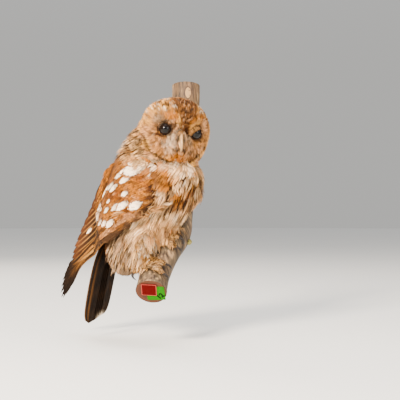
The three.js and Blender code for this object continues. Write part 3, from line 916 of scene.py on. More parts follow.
def on_flank(roots, normals):
    """True where breast feathers lie over the front of either wing."""
    covered = np.zeros(len(roots), bool)
    for wing in WINGS.values():
        along, across = wing_place(wing, roots)
        covered |= (across < breast_line(along)) & (along > -30) & (along < 62)
    return covered & open_to_air(roots, normals, 12.0)


def coat_of_body(spacing, longer):
    """Contour feathers of neck, trunk and flanks, their loose barbs, streaks and plumes."""
    mat = plumage("contour_feathers", barb=1.4)
    for name, nodes, share, seed, keep in (
            ("coat_body", ["trunk", "neck"], 1.0, 101, open_to_air),
            ("coat_flank", COVERTS, 0.9, 103, on_flank)):
        draw = default_rng(seed)
        roots, _, uv, depth = scatter(nodes, spacing * share, seed, keep)
        count, z = len(roots), roots[:, 2]
        belly = 1 - ease(roots[:, 1] - body_middle(z), 10, 30)
        low = ease(z, 60, 10) * belly
        length = 24 + 14 * ease(z, 120, 70) * belly + 6 * low
        if name == "coat_flank":
            length = length * (1 - 0.4 * ease(z, 90, 110))
        ways = astray(lay_body, roots, draw, 0.17)
        path, out = trace(roots, ways, length * longer * draw.uniform(0.85, 1.2, count),
                          1.1 * depth + 0.8 + nape(roots), 4, lay_body, 0.04 + 0.05 * low)
        colours = paint_random(body_colour(path[:, 3]), draw, 0.3, "white", "buff", "ochre",
                               "umber")
        streak = np.where(draw.random(count) < 0.55, 1.0, 0.15)
        streak = streak * (ease(z, 136, 112) * (0.3 + 0.7 * ease(z, 40, 90)) + ease(z, 140, 152))
        width = 5.4 + 2.2 * draw.random(count)
        bar = (0.15 + 0.6 * ease(z, 128, 142)) * draw.random(count)
        settle(feathers(name, path, out, width, colours, uv, seed + 1, blades=7, streak=streak,
                        bar=bar, ragged=0.14, tip=0.35), mat, "plumage_body")
    # Loose barbs over the feathers break their edges up.
    draw = default_rng(13)
    roots, _, uv, depth = scatter(["trunk", "neck"], 4.2, 102, open_to_air)
    ways = astray(lay_body, roots, draw, 0.3)
    low = ease(roots[:, 2], 50, 5)
    path, out = trace(roots, ways, draw.uniform(11, 20, len(roots)) * (1 + 0.6 * low),
                      1.2 * depth + 0.6 + nape(roots), 3, lay_body, 0.05 + 0.08 * low)
    colours = paint_random(body_colour(path[:, 2]), draw, 0.4, "white", "cream", "buff", "umber")
    settle(feathers("coat_body_barbs", path, out, 0.7, colours, uv, 14, blades=2, steps=3,
                    spread=2.2, ragged=0.3), mat, "plumage_body")
    shaft_streaks(mat)
    trouser_plumes(mat)


def shaft_streaks(mat):
    """Narrow dark shaft streaks that lie on the pale feathers of the breast and belly."""
    draw = default_rng(17)
    for name, nodes, keep in (("breast", ["trunk"], open_to_air), ("flank", COVERTS, on_flank)):
        grown = scatter(nodes, 7.6, 105, keep)
        _, y, z = grown[0].T
        chosen = (y < body_middle(z) + 14) & (z < 122)
        chosen &= draw.random(len(z)) < 0.65 + 0.3 * ease(z, 50, 90)
        roots, _, uv, depth = (values[chosen] for values in grown)
        ways = astray(lay_body, roots, draw, 0.2)
        path, out = trace(roots, ways, draw.uniform(13, 27, len(roots)), 1.25 * depth + 1.6, 5,
                          lay_body, 0.02)
        breast = ease(roots[:, 2], 50, 90)
        dark = ease(draw.random(len(roots)), 0.2, 0.9) * (0.35 + 0.65 * breast)
        width = draw.uniform(0.5, 1.3, len(roots)) * (1 + 0.7 * breast)
        settle(feathers("shaft_streaks_" + name, path, out, width,
                        paint("chestnut", ("dark", dark)), uv, 18, blades=3, steps=5,
                        ragged=0.5, tip=0.2, taper=0.6), mat, "plumage_body")


def free_paths(roots, ways, length, steps, fall):
    """Paths of loose plumes that leave the skin and bend down under their weight."""
    path = np.empty((len(roots), steps + 1, 3))
    at, step = roots.copy(), (np.asarray(length) / steps)[:, None]
    for k in range(steps + 1):
        path[:, k] = at
        ways = unit(ways + fall)
        at = at + ways * step
    return path


def clear_of_branch(path, margin):
    """Pushes loose plumes out of the limb, so they lie over it."""
    flat = (owl_to_world(path) / MM).reshape(-1, 3)
    line = branch_samples()[::6]
    near = line[norm(flat[:, None, :] - line, axis=2).argmin(axis=1)]
    far = norm(flat - near, axis=1, keepdims=True)
    least = BRANCH_RADIUS + margin
    flat = np.where(far < least, near + (flat - near) / far * least, flat)
    return world_to_owl(flat.reshape(path.shape) * MM)


def trouser_plumes(mat):
    """Long loose belly plumes that hang over the legs and the near side of the limb."""
    draw = default_rng(15)
    grown = scatter(["trunk", "leg_right", "leg_left"], 4.6, 104, open_to_air)
    _, y, z = grown[0].T
    roots, normals, uv, _ = (values[(z < 52) & (z > -8) & (y < 60)] for values in grown)
    count = len(roots)
    ways = unit(lay_body(roots) + normals * 0.30 + draw.normal(0, 0.16, roots.shape))
    path = free_paths(roots, ways, draw.uniform(24, 40, count), 6, np.array([0, 0, -0.12]))
    path = clear_of_branch(path, 3.0 + 2.0 * draw.random())
    out = np.broadcast_to(normals[:, None, :], path.shape)
    colours = paint_random(body_colour(path[:, 4]), draw, 0.5, "grey", "cream", "umber", "rose")
    width = draw.uniform(1.8, 3.6, count)
    settle(feathers("trouser_plumes", path, out, width, colours, uv, 16, steps=5, ragged=0.4,
                    streak=np.where(draw.random(count) < 0.4, 1, 0.1), spread=1.1), mat,
           "plumage_body")


def full_temple(head):
    """How much higher the feathers stand on the right side of the crown."""
    return 4.5 * ease(-head[:, 0], 16, 36) * bell(head[:, 2] - 20, 26) * ease(head[:, 1], -34, -18)


def coat_of_head(spacing):
    """Short feathers of crown and disc, their loose barbs, the brows and the bill's cap."""
    mat = plumage("head_feathers", barb=1.0, roughness=0.82)
    draw = default_rng(21)
    roots, _, uv, depth = scatter(["head"], spacing, 201, open_to_air)
    count, head = len(roots), owl_to_head(roots)
    on_face, full = face_weight(head), full_temple(head)
    ways = astray(lay_head, roots, draw, 0.10)
    length = (12 - 4.0 * on_face) * draw.uniform(0.8, 1.2, count)
    path, out = trace(roots, ways, length * (1 + 0.1 * full), depth * 1.05 + 0.3 + full, 3,
                      lay_head)
    colours = paint_random(head_colour(path[:, 2]), draw, 0.1, "grey", "buff", "umber")
    streak = np.where(on_face > 0.5, 0.25 * draw.random(count),
                      0.9 * (draw.random(count) < 0.55))
    settle(feathers("coat_head", path, out, 2.8 - 1.1 * on_face, colours, uv, 22, blades=4,
                    steps=3, streak=streak, ragged=0.2), mat, "plumage_head")
    roots, _, uv, depth = scatter(["head"], spacing * 0.63, 202, open_to_air)
    ways = astray(lay_head, roots, draw, 0.18)
    path, out = trace(roots, ways, draw.uniform(5, 9, len(roots)),
                      depth * 1.15 + 0.4 + full_temple(owl_to_head(roots)), 2, lay_head)
    colours = paint_random(head_colour(path[:, 1]), draw, 0.15, "cream", "buff", "umber")
    settle(feathers("coat_head_barbs", path, out, 0.42, colours, uv, 23, blades=2, steps=2,
                    spread=2.4, ragged=0.3), mat, "plumage_head")
    brows(mat)
    bill_cap(mat, draw)


def bill_cap(mat, draw):
    """Loose grey plumes that fall from the forehead over the root of the bill."""
    count = 110
    x, z = draw.uniform(-3.4, 3.4, count), draw.uniform(-3, 3.5, count)
    places, _, _ = nearest_on_skin(head_to_owl(np.stack([x, 0 * x - 38.0, z], axis=1)))
    way = np.stack([0.05 * x, 0 * x - 0.8, 0 * x - 0.55], axis=1)
    ways = unit(way @ HEAD_AXES.T + draw.normal(0, 0.09, (count, 3)))
    path = free_paths(places, ways, draw.uniform(7, 11, count), 5, np.array([0, 0.02, -0.11]))
    out = np.broadcast_to(np.array([0, -0.8, 0.6]) @ HEAD_AXES.T, path.shape)
    colours = paint("grey", ("buff", draw.random(count)))
    settle(feathers("bill_cap", path, out, 0.8, colours, skin_places(places), 26, blades=3,
                    ragged=0.3, streak=0.4), mat, "plumage_head")


def brows(mat):
    """Stiff brow feathers: short round the right eye, and drawn low across the left one."""
    draw = default_rng(24)
    for name, side, count, first, last in (("right", -1, 120, 15, 175), ("left", 1, 420, 80, 195)):
        angle = np.radians(draw.uniform(first, last, count))
        ring = (10.6 if side < 0 else 8.2) + 4.0 * draw.random(count)
        x, z = ring * np.cos(angle), ring * np.sin(angle)
        roots = head_to_owl(np.stack([side * EYE_SIDE + x, 0 * x - 33.0, EYE_UP + z], axis=1))
        places, _, _ = nearest_on_skin(roots)
        if side < 0:
            way = np.stack([0.8 * np.cos(angle), 0 * x - 0.5, 0.7 * np.sin(angle)], axis=1)
            colours = paint("grey", ("umber", draw.random(count) * 0.8))
            length, rise = 4.5 * draw.uniform(0.8, 1.2, count), 0.0
        else:
            # These end on a slanting line just above the middle of the eye.
            way = np.tile([0.68, 0.0, -0.74], (count, 1))
            reach = np.maximum(0.74 * z - 0.68 * x - 2.4, 1.5)
            length, rise = reach * draw.uniform(0.88, 1.04, count), 4.7
            colours = paint("face", ("cream", draw.random(count) ** 2),
                            ("umber", 0.25 + 0.65 * (draw.random(count) < 0.35)))
        ways = unit(way @ HEAD_AXES.T + draw.normal(0, 0.1, (count, 3)))
        t = np.linspace(0, 1, 6)[None, :, None]
        path = (places[:, None] + ways[:, None] * length[:, None, None] * t
                + (np.array([0, -1.0, 0]) @ HEAD_AXES.T) * rise * np.sin(t * pi / 2))
        out = np.broadcast_to(np.array([0, -1.0, 0.6]) @ HEAD_AXES.T, path.shape)
        settle(feathers("brow_" + name, path, out, 0.55, colours, skin_places(places), 25,
                        blades=3, steps=5, ragged=0.3, streak=0.5), mat, "plumage_head")


def leg_ways(points):
    return np.broadcast_to(unit([0.0, -0.15, -1.0]), points.shape)


def coat_of_legs(spacing):
    """Tufts of down on legs and toes."""
    mat = plumage("leg_down", barb=1.2, roughness=0.85)
    draw = default_rng(31)
    for name, nodes, share, seed, lay, stray, reach, lift, loose, others, shape in (
            ("coat_legs", ["leg_right", "leg_left"], 1.0, 301, leg_ways, 0.3, (10, 18), 0.6, 0.08,
             (0.4, "white", "buff", "umber"), {"width": 1.8, "seed": 32, "streak": 0.5}),
            ("coat_feet", ["foot_right", "foot_left"], 0.6, 303, toe_ways, 0.5, (3.5, 6.5), 0.4,
             0.06, (0.5, "cream", "umber", "chestnut"),
             {"width": 0.9, "seed": 34, "blades": 3})):
        roots, _, uv, depth = scatter(nodes, spacing * share, seed)
        ways = astray(lay, roots, draw, stray)
        path, out = trace(roots, ways, draw.uniform(*reach, len(roots)), depth + lift, 3, lay,
                          loose)
        colours = paint_random(leg_colour(roots), draw, *others)
        settle(feathers(name, path, out, colours=colours, uv=uv, steps=3, ragged=0.3,
                        **{"blades": 4, **shape}), mat, "feathered_feet")


FOOT_AXES = np.array([[-24.0, -9.5, -35.0], [16.0, -4.0, 2.5]])
BRANCH_UP = unit([0.69, 0.13, 0.71])
BRANCH_FORWARD = unit(np.array([0, -1.0, 0]) + BRANCH_UP * BRANCH_UP[1])
BRANCH_OFF = np.cross(BRANCH_FORWARD, BRANCH_UP)
BRANCH_RADIUS = 23.0


def toe_ways(points):
    """Down round the branch, forward on the front toes and back on the hind ones."""
    right, left = (points - axis for axis in FOOT_AXES)
    nearer = norm(right, axis=1) < norm(left, axis=1)
    local = np.where(nearer[:, None], right, left)
    forward, off = (local @ BRANCH_FORWARD)[:, None], (local @ BRANCH_OFF)[:, None]
    sense = np.where(forward > 0, 1.0, -1.0)
    return unit(sense * (off * BRANCH_FORWARD - forward * BRANCH_OFF) / np.hypot(forward, off))


# ---- wings and tail

# White-webbed feathers: along, across, length and half width in mm.
WHITE_FEATHERS = [
    (7, 26, 42, 12.5), (1, 35, 20, 6.0), (19, 35, 22, 5.6), (25, 22, 26, 6.0), (31, 38, 26, 5.6),
    (50, 30, 28, 5.8), (56, 40, 28, 5.6), (66, 46, 18, 4.0), (77, 48, 30, 5.8),
    (112, 50, 20, 4.0), (37, -19, 32, 7.6), (53, -4, 35, 6.2), (37, 5, 16, 4.5),
    (64, 4, 28, 5.0), (82, 15, 20, 4.5), (90, -5, 28, 6.2), (101, 5, 20, 4.6),
    (108, 14, 20, 4.2), (150, 35, 18, 4.0), (96, 30, 14, 3.5), (70, 22, 13, 3.5),
]


def over_wing(wing, along, across, depth):
    """Paths at a depth in the wing, with the directions square to its face."""
    path = wing_point(wing, along, across, depth)
    ahead = wing_point(wing, along, across + 2.0, depth)
    return path, unit(np.cross(unit(np.gradient(path, axis=1)), ahead - path))


def wing_paths(wing, start, across, length, steps, sink, lift, given_at):
    """Paths over the wing that keep their share of its width, from sink under to lift over."""
    given = np.maximum(start + given_at * length, 2.0)
    share = (across - front_edge(given)) / (back_edge(given) - front_edge(given))
    share = np.clip(share, 0.0, 1.0)
    t = np.linspace(0, 1, steps + 1)[None, :]
    along = start[:, None] + length[:, None] * t
    lane = front_edge(along) + (back_edge(along) - front_edge(along)) * share[:, None]
    path, out = over_wing(wing, along, lane, sink * (1 - t) - lift * t ** 0.8 + 0 * lane)
    return path, out * np.where(out[..., :1] * wing["side"] < 0, -1, 1)


def over_skin(path, out, margin):
    """Lifts the points of each path that would dip into the skin, all but the roots."""
    flat, above = path[:, 1:].reshape(-1, 3), out[:, 1:].reshape(-1, 3)
    places, normals, _ = nearest_on_skin(flat)
    gap = ((flat - places) * normals).sum(axis=1, keepdims=True)
    facing = ease((normals * above).sum(axis=1, keepdims=True), 0.4, 0.8)
    lifted = flat + normals * np.maximum(margin - gap, 0) * facing
    return np.concatenate([path[:, :1], lifted.reshape(len(path), -1, 3)], axis=1)


def skin_places(points):
    """Bake places of the skin nearest to each root."""
    places, _, triangles = nearest_on_skin(points)
    corners = shared["points"][shared["corners"][triangles]]
    share = 1 / (norm(corners - places[:, None], axis=2) + 0.01)
    share /= share.sum(axis=1, keepdims=True)
    return (shared["uv"][triangles] * share[:, :, None]).sum(axis=1)


def covert_rows(draw):
    """Rows of coverts from the bend to the flight feathers: place, lane, length, half width."""
    rows = []
    start = -22.0
    while start < 100:
        size = float(np.interp(start, [-22, 34, 62, 100], [0, 0.12, 0.6, 1.0]))
        pitch, length = 4.6 + 4.2 * size, 13 + 19 * size
        at = max(start + 0.6 * length, 2.0)
        lanes = np.arange(float(front_edge(at)) + 1, float(back_edge(at)) - 0.5, pitch * 1.02)
        lanes = lanes + draw.normal(0, 0.7, len(lanes))
        keep = (lanes > breast_line(at) - 2) | (at > 60)
        rows += [(start + draw.normal(0, 0.9), lane, length * draw.uniform(0.9, 1.1),
                  3.2 + 3.6 * size) for lane in lanes[keep]]
        start += pitch
    return np.array(rows).T


def coverts_of(side):
    """Rows of coverts on one wing, and the white feathers over them."""
    wing = WINGS[side]
    draw = default_rng(41 if side == "right" else 42)
    start, across, length, width = covert_rows(draw)
    path, out = wing_paths(wing, start, across, length, 4, 1.2, 1.3, 0.6)
    path = over_skin(path, out, 0.9)
    along = start + length * 0.6
    colours = paint_random(wing_colour(along, across, path[:, 3]), draw, 0.34, "ochre", "buff",
                           "umber")
    mat = plumage("covert_feathers_" + side, vermiculation=0.5, roughness=0.7)
    rear = ease(across - back_edge(along), -34, -12)
    streak = 0.2 + 0.4 * rear * (draw.random(len(start)) < 0.6)
    settle(feathers("coverts_" + side, path, out, width, colours, skin_places(path[:, 0]), 43,
                    streak=streak, bar=0.3 * draw.random(len(start)), ragged=0.06, tip=0.35,
                    spread=0.85), mat, "wing_coverts")
    along, across, length, width = np.array(WHITE_FEATHERS, float).T
    path, out = wing_paths(wing, along - length * 0.62, across, length, 6, 0.4, 2.3, 0.62)
    path = over_skin(path, out, 2.0)
    colours = wing_colour(along, across, path[:, 3])
    settle(quill_vanes("white_webs_" + side, path, out, width, 44, bar=0.0, rows=9, columns=6,
                       root=colours, tip=colours, inner=colours, spot=1.0), mat, "wing_coverts")


def quill_vanes(name, path, out, width, seed, bar, root, tip, inner, spot=0.0, tip_round=2.0,
                rows=18, columns=8, tip_from=0.6, front=1.0):
    """Stiff feathers: one closed vane each, with a raised shaft along its middle."""
    draw = default_rng(seed)
    count, stations = path.shape[:2]
    width = np.asarray(width)[:, None]
    t = np.linspace(0, 1, rows + 1)
    low = np.clip((t * (stations - 1)).astype(int), 0, stations - 2)
    part = (t * (stations - 1) - low)[None, :, None]
    at = (slice(None), low)
    middle, up = between(path, at, part), unit(between(out, at, part))
    sideways = unit(np.cross(up, unit(np.gradient(middle, axis=1))))
    outline = np.clip(1 - t ** 8, 0, 1) ** (1 / tip_round) * ease(t, -0.12, 0.12)
    lane = np.linspace(-1, 1, columns + 1)
    offset = (width * outline + 0.15)[:, :, None] * lane
    shaft = 0.5 * bell(lane, 0.12) * (1 - 0.8 * t)[None, :, None]
    wave = draw.normal(0, 0.10, (count, 1, columns + 1)) * t[None, :, None]
    sag = 0.10 * offset ** 2 / width[..., None] - shaft + wave
    top = (middle[:, :, None] + sideways[:, :, None] * offset[..., None]
           - up[:, :, None] * sag[..., None])
    under = top - up[:, :, None] * 0.25
    points = np.concatenate([top.reshape(count, -1, 3), under.reshape(count, -1, 3)], axis=1)
    layer = (rows + 1) * (columns + 1)
    index = np.arange(layer).reshape(rows + 1, columns + 1)
    quads = [(a, a + 1, a + columns + 2, a + columns + 1) for a in index[:-1, :-1].ravel()]
    quads += [(d + layer, c + layer, b + layer, a + layer) for a, b, c, d in quads]
    rim = np.r_[index[0, :], index[1:, -1], index[-1, -2::-1], index[-2:0:-1, 0]]
    quads += [(b, a, a + layer, b + layer) for a, b in zip(rim, np.roll(rim, -1))]
    faces = (np.arange(count)[:, None, None] * layer * 2 + np.array(quads)).reshape(-1, 4)
    thing = make_mesh(name, owl_to_world(points), faces)
    with reshaped(thing.data):
        pass  # only to turn its faces outwards
    chance = draw.random(count)[:, None, None]
    vane = np.stack(np.broadcast_arrays(lane, t[None, :, None], chance), axis=-1)
    vane = np.tile(vane.reshape(count, -1, 3), (1, 2, 1))
    give_point_data(thing, "vane", vane)
    mark = np.zeros((count, layer * 2, 3))
    mark[..., 1:] = spot, bar
    give_point_data(thing, "mark", mark)
    root, inner, tip = (np.broadcast_to(c, (count, 3))[:, None, :] for c in (root, inner, tip))
    pale = ease(vane[..., 0] * front, 0.5, 0.9) + bell(vane[..., 0] + 0.33 * front, 0.15)
    tint = blend(inner, root, np.clip(pale, 0, 1))
    give_tint(thing, blend(tint, tip, ease(vane[..., 1], tip_from, 1.0)))
    side = ceil(sqrt(count))
    cell = np.stack([np.arange(count) % side, np.arange(count) // side], axis=1)
    local = np.stack([vane[..., 0] * 0.225 + 0.25, vane[..., 1] * 0.9 + 0.05], axis=-1)
    local[:, layer:, 0] += 0.5
    give_bake_map(thing, ((cell[:, None, :] + local) / side).reshape(-1, 2))
    return thing


PRIMARY_TIPS = [(238, -4), (252, -6), (261, -6), (263, -3), (259, 3), (251, 9), (242, 15),
                (233, 19), (225, 22), (217, 25)]
SECONDARY_TIPS = [(214, 27), (210, 33), (204, 39), (196, 45), (186, 50), (174, 55), (161, 59),
                  (147, 63), (133, 66), (120, 68)]


def quill_paths(wing, anchors, depth_root, depth_tip, steps=14):
    """Paths through (along, across) anchors, each feather a little higher than the last."""
    t = np.linspace(0, 1, steps + 1)
    along, across = np.stack([smooth_line(stops, t) for stops in anchors]).transpose(2, 0, 1)
    path, out = over_wing(wing, along, across, depth_root[:, None] * (1 - t)
                          + depth_tip[:, None] * t)
    sense = np.sign((out[..., 0] * wing["side"]).sum(axis=1))
    return path, out * sense[:, None, None]


def flight_of(side):
    """Primaries and secondaries of one folded wing, each a little higher than the last."""
    wing, ranks = WINGS[side], np.arange(10)
    mat = plumage("flight_feathers_" + side, barb=0.8, roughness=0.55, sheen=0.03,
                  vermiculation=0.12)
    anchors = []
    for k, (tip, across) in enumerate(PRIMARY_TIPS):
        share = (k + 0.5) / len(PRIMARY_TIPS)
        stops = [(a, front_edge(a) + (parting_line(a) - front_edge(a)) * share + 1.5)
                 for a in (92.0, 128.0, 165.0, 200.0)]
        anchors.append(stops + [(tip, across)])
    path, out = quill_paths(wing, anchors, 4.0 - 0.22 * ranks, 1.5 - 0.11 * ranks)
    settle(quill_vanes("primaries_" + side, path, out, np.linspace(4.2, 5.4, len(ranks)), 51,
                       bar=0.1, root=INK["buff"], tip=INK["dark"] * 0.6, inner=INK["umber"],
                       tip_from=0.36, front=-wing["side"]),
           mat, "flight_feathers", "wing_primaries_" + side)
    anchors = []
    for k, (tip, across) in enumerate(SECONDARY_TIPS):
        root = 96.0 - 4.5 * k
        low, high = parting_line(root) - 4, back_edge(root) - 8
        lane = (high - low) * (k + 0.5) / len(SECONDARY_TIPS)
        anchors.append([(root, low + lane),
                        ((root + tip) / 2, low + lane * 0.9 + across * 0.06),
                        (tip - 4, across - 5.0 + 0.2 * k)])
    path, out = quill_paths(wing, anchors, 3.0 - 0.25 * ranks, 0.9 - 0.12 * ranks)
    settle(quill_vanes("secondaries_" + side, path, out, np.full(len(ranks), 9.0), 52, bar=0.2,
                       root=paint("cream", ("buff", 0.4)), tip=INK["chestnut"],
                       inner=INK["umber"], tip_round=1.6, front=-wing["side"]),
           mat, "flight_feathers", "wing_secondaries_" + side)


TAIL_ROOT = np.array([-3.0, 90.0, 22.0])
TAIL_END = np.array([-6.0, 131.0, -121.0])
tail_more = through((0, 8), (0.25, 18), (0.5, 16), (0.8, 9), (1, 5))
tail_half = through((0, 15), (0.3, 19), (0.8, 24), (0.94, 22), (1, 15))


def tail_feathers():
    """A fan of stiff tail feathers: near-black, barred tan, with a frayed pale outer corner."""
    run = TAIL_END - TAIL_ROOT
    back = unit(np.array([0, -run[2], run[1]]))
    count, steps = 12, 14
    place = np.linspace(-1, 1, count)[:, None] * 0.72
    rank = np.abs(np.linspace(-1, 1, count))[:, None]
    s = np.linspace(0, 1, steps + 1)
    along = s * (1 - (0.07 * place ** 2 + 0.05 * (place + 1) * ease(s, 0.7, 1)) * s)
    arch = 7 * (1 - place ** 2) * (1 - 0.3 * s) - 5.0 - rank * 1.6
    sideways = place * tail_half(s) + np.minimum(place, 0) * tail_more(s)
    path = (TAIL_ROOT + run * along[..., None] + np.array([1.0, 0, 0]) * sideways[..., None]
            + back * arch[..., None])
    mat = plumage("tail_feathers", barb=0.8, roughness=0.6, sheen=0.03, bar_colour="tan",
                  vermiculation=0.1)
    root = blend(INK["dark"] * 1.5, INK["tan"], 0.55 * ease(place[:, 0], -0.6, -0.7))
    tips = paint("umber", ("white", ease(place[:, 0], 0.2, 0.6)))
    settle(quill_vanes("tail_vanes", path, np.broadcast_to(back, path.shape),
                       np.full(count, 8.5), 61, bar=0.03, root=root, tip=tips,
                       inner=INK["dark"], tip_from=0.93, tip_round=1.8),
           mat, "tail_feathers", "tail")


# ---- eyes, bill and claws

def glass_eyes(radius):
    """Blown glass taxidermy eyes: near-black brown, with a glossy, wet-looking bulging front."""
    mat, add, place = material("blown_glass_eye", Roughness=0.05, IOR=1.5,
                               Specular_IOR_Level=0.2)
    vane = add("Attribute", attribute_name="vane").outputs["Vector"]
    angle = add("SeparateXYZ", vane).outputs[1]
    iris = add("Mix RGBA", add("TexNoise", place, 1 / (1.2 * MM), 4), rgba("#0D0704"),
               rgba("#1D1109"))
    dress(mat, layered(add, iris, (angle, 0.62, 0.52, 1.0, rgba("#050404")),
                       (angle, 0.92, 1.0, 1.0, rgba("#120C09"))))
    rings, sides = 26, 40
    theta = np.linspace(0, pi, rings + 1)[:, None]
    phi = round_angles(sides)
    bulge = radius + 0.4 * bell(theta, 0.5)
    for name, side in (("right", -1), ("left", 1)):
        gaze, level, upright = eye_axes(side)
        ring = (bulge * np.cos(theta))[..., None] * gaze
        ring = ring + (bulge * np.sin(theta) * np.cos(phi))[..., None] * level
        ring = ring + (bulge * np.sin(theta) * np.sin(phi))[..., None] * upright
        points = owl_to_world(head_to_owl(ring + eye_centre(side)))
        eye = make_mesh("glass_eye_" + name, points, tube_faces(rings + 1, sides))
        with reshaped(eye.data) as shape:
            bmesh.ops.remove_doubles(shape, verts=shape.verts, dist=WELD)
        local = owl_to_head(world_to_owl(points_of(eye))) - eye_centre(side)
        away = np.arccos(np.clip(unit(local) @ gaze, -1, 1))
        give_point_data(eye, "vane", np.column_stack([0 * away, away, 0 * away]))
        settle(eye, mat, "glass_eye", "eye_" + name)


def smooth_line(line, t):
    """Places at shares t of the way along a smooth line through stations."""
    line = np.asarray(line, float)
    knots = np.linspace(0, 1, len(line))
    return np.stack([through(*zip(knots, values))(t) for values in line.T], axis=1)


def loft(name, line, sizes, rings=24, sides=24, up=(0, 0, 1.0)):
    """A closed tube along smooth stations; sizes are (half width, half height) stations."""
    t = np.linspace(0, 1, rings)
    middle, (wide, high) = smooth_line(line, t), smooth_line(sizes, t).T
    run = unit(np.gradient(middle, axis=0))
    level = unit(np.cross(run, np.asarray(up, float)))
    above = np.cross(level, run)
    phi = round_angles(sides)
    points = (middle[:, None] + level[:, None] * (np.cos(phi) * wide[:, None])[..., None]
              + above[:, None] * (np.sin(phi) * high[:, None])[..., None])
    thing = make_mesh(name, points, tube_faces(rings, sides))
    with reshaped(thing.data) as shape:
        corners = list(shape.verts)
        shape.faces.new(corners[:sides][::-1])
        shape.faces.new(corners[-sides:])
    thing.data.shade_smooth()
    return thing


def put(thing, place):
    """Moves a mesh made in mm in some frame to its place in the world."""
    move_points(thing, place(points_of(thing)))
    return thing


def bill():
    """Keratin horn: waxy brown to tan, faintly streaked."""
    mat, add, place = material("bill_keratin", Roughness=0.36, IOR=1.55,
                               Subsurface_Weight=0.15, Subsurface_Scale=0.004)
    stretched = add("Mapping", {"Vector": place, "Scale": (1, 1, 0.3)})
    streaks = add("TexNoise", stretched, 1 / (1.6 * MM), 3)
    dress(mat, add("Mix RGBA", streaks, rgba("#8A6034"), rgba("#C49A62")), streaks, 0.2, 0.3)
    upper = [(0, -37, -1), (0, -44.2, -6), (0.4, -49.2, -12), (0.9, -50.6, -18.5),
             (1.4, -48.2, -25)]
    lower = [(0, -36.5, -9), (0.2, -41.5, -14), (0.6, -44.2, -18.5), (0.9, -44.6, -21)]
    halves = (("bill_upper", upper, [(2.6, 4.0), (2.5, 4.0), (2.1, 3.3), (1.5, 2.1), (0.3, 0.35)],
               28, 24, ["bill"]),
              ("bill_lower", lower, [(2.6, 2.0), (2.4, 1.9), (1.7, 1.3), (0.5, 0.4)], 16, 20, []))
    for name, line, sizes, rings, sides, nodes in halves:
        half = loft(name, line, sizes, rings, sides, (0, 1, 0.2))
        put(half, lambda points: owl_to_world(head_to_owl(points)))
        settle(half, mat, "bill_horn", *nodes)


def claws():
    """Claw keratin: dark brown horn, nearly black, in fine blotches."""
    mat = blotched("claw_keratin", 1.4, rgba("#120C08"), rgba("#2A1E16"), Roughness=0.34,
                   IOR=1.55, Specular_IOR_Level=0.3)
    for side in WINGS:
        for toe in range(1, 5):
            node = f"claw_{side}_{toe}"
            settle(joined_copy("horn_" + node, node, levels=2), mat, "claw_horn", node)


# ---- the branch and its labels

BRANCH_LINE = [(0, -8, 34), (0, -12, 0), (-3, -27, -80), (-7, -42, -140), (-10, -60, -188),
               (-13, -98, -222), (-29, -134, -247.5), (-44, -164, -280), (-50, -199, -311)]
BUTT_CENTRE = np.array([-48.5, -188.0, -301.0])
BUTT_NORMAL = unit([-0.1, -0.75, -0.65])
STUB_TOP, TOP_CUT_TILT = 22.0, radians(12)
branch_radius = through((0, 23), (0.5, 22.5), (0.78, 21.5), (1, 24))


def branch_samples(count=300):
    """Evenly spaced places down the limb's middle line, in the wall's frame."""
    line = np.array(BRANCH_LINE, float)
    steps = np.r_[0, np.cumsum(np.sqrt(norm(np.diff(line, axis=0), axis=1)))]
    knots = steps / steps[-1]
    fine = np.linspace(0, 1, 2000)
    dense = np.stack([through(*zip(knots, values))(fine) for values in line.T], axis=1)
    far = np.r_[0, np.cumsum(norm(np.diff(dense, axis=0), axis=1))]
    t = np.linspace(0, 1, count)
    return np.stack([np.interp(t, far / far[-1], values) for values in dense.T], axis=1)


def branch(colours, density):
    """Debarked-looking smooth bark on a sawn limb: matt skin and sawn end grain."""
    rings, sides = 300, 96
    t = np.linspace(0, 1, rings)
    middle = branch_samples(rings)
    run = unit(np.gradient(middle, axis=0))
    level = unit(np.cross(run, [1.0, 0, 0]))
    above = np.cross(level, run)
    phi = round_angles(sides)[:, None]
    outward = level[:, None] * np.cos(phi) + above[:, None] * np.sin(phi)
    radius = branch_radius(t)[:, None] - 0.35
    flat = (middle[:, None] + outward * radius[..., None]).reshape(-1, 3)
    wrinkle = mottle(flat * [1, 1, 0.25], 5, 71) - 0.5 + 0.5 * (mottle(flat, 18, 72) - 0.5)
    ring_marks = bell(np.sin(t * 44 + 2.0 * mottle(middle, 30, 73)), 0.12)
    radius = radius + 0.55 * wrinkle.reshape(rings, sides) - 0.25 * ring_marks[:, None]
    surface = middle[:, None] + outward * radius[..., None]
    thing = make_mesh("branch_bark", surface * MM, tube_faces(rings, sides))
    cuts = [((0, 0, 0), (0, 1, 0)),
            ((0, -8, STUB_TOP), (0, sin(TOP_CUT_TILT), cos(TOP_CUT_TILT))),
            (BUTT_CENTRE, BUTT_NORMAL)]
    with reshaped(thing.data) as shape:
        for place, normal in cuts:
            geometry = shape.verts[:] + shape.edges[:] + shape.faces[:]
            cut = bmesh.ops.bisect_plane(shape, geom=geometry, plane_co=Vector(place) * MM,
                                         plane_no=Vector(normal), clear_outer=True)
            rim = [e for e in cut["geom_cut"] if isinstance(e, bmesh.types.BMEdge)]
            for face in bmesh.ops.contextual_create(shape, geom=rim)["faces"]:
                face.material_index, face.smooth = 1, False
        ends = [face for face in shape.faces if face.material_index == 1]
        bmesh.ops.triangulate(shape, faces=ends)
    lenticels(thing, density)
    settle(thing, [bark_material(*colours), end_grain_material()], "bark", "branch")


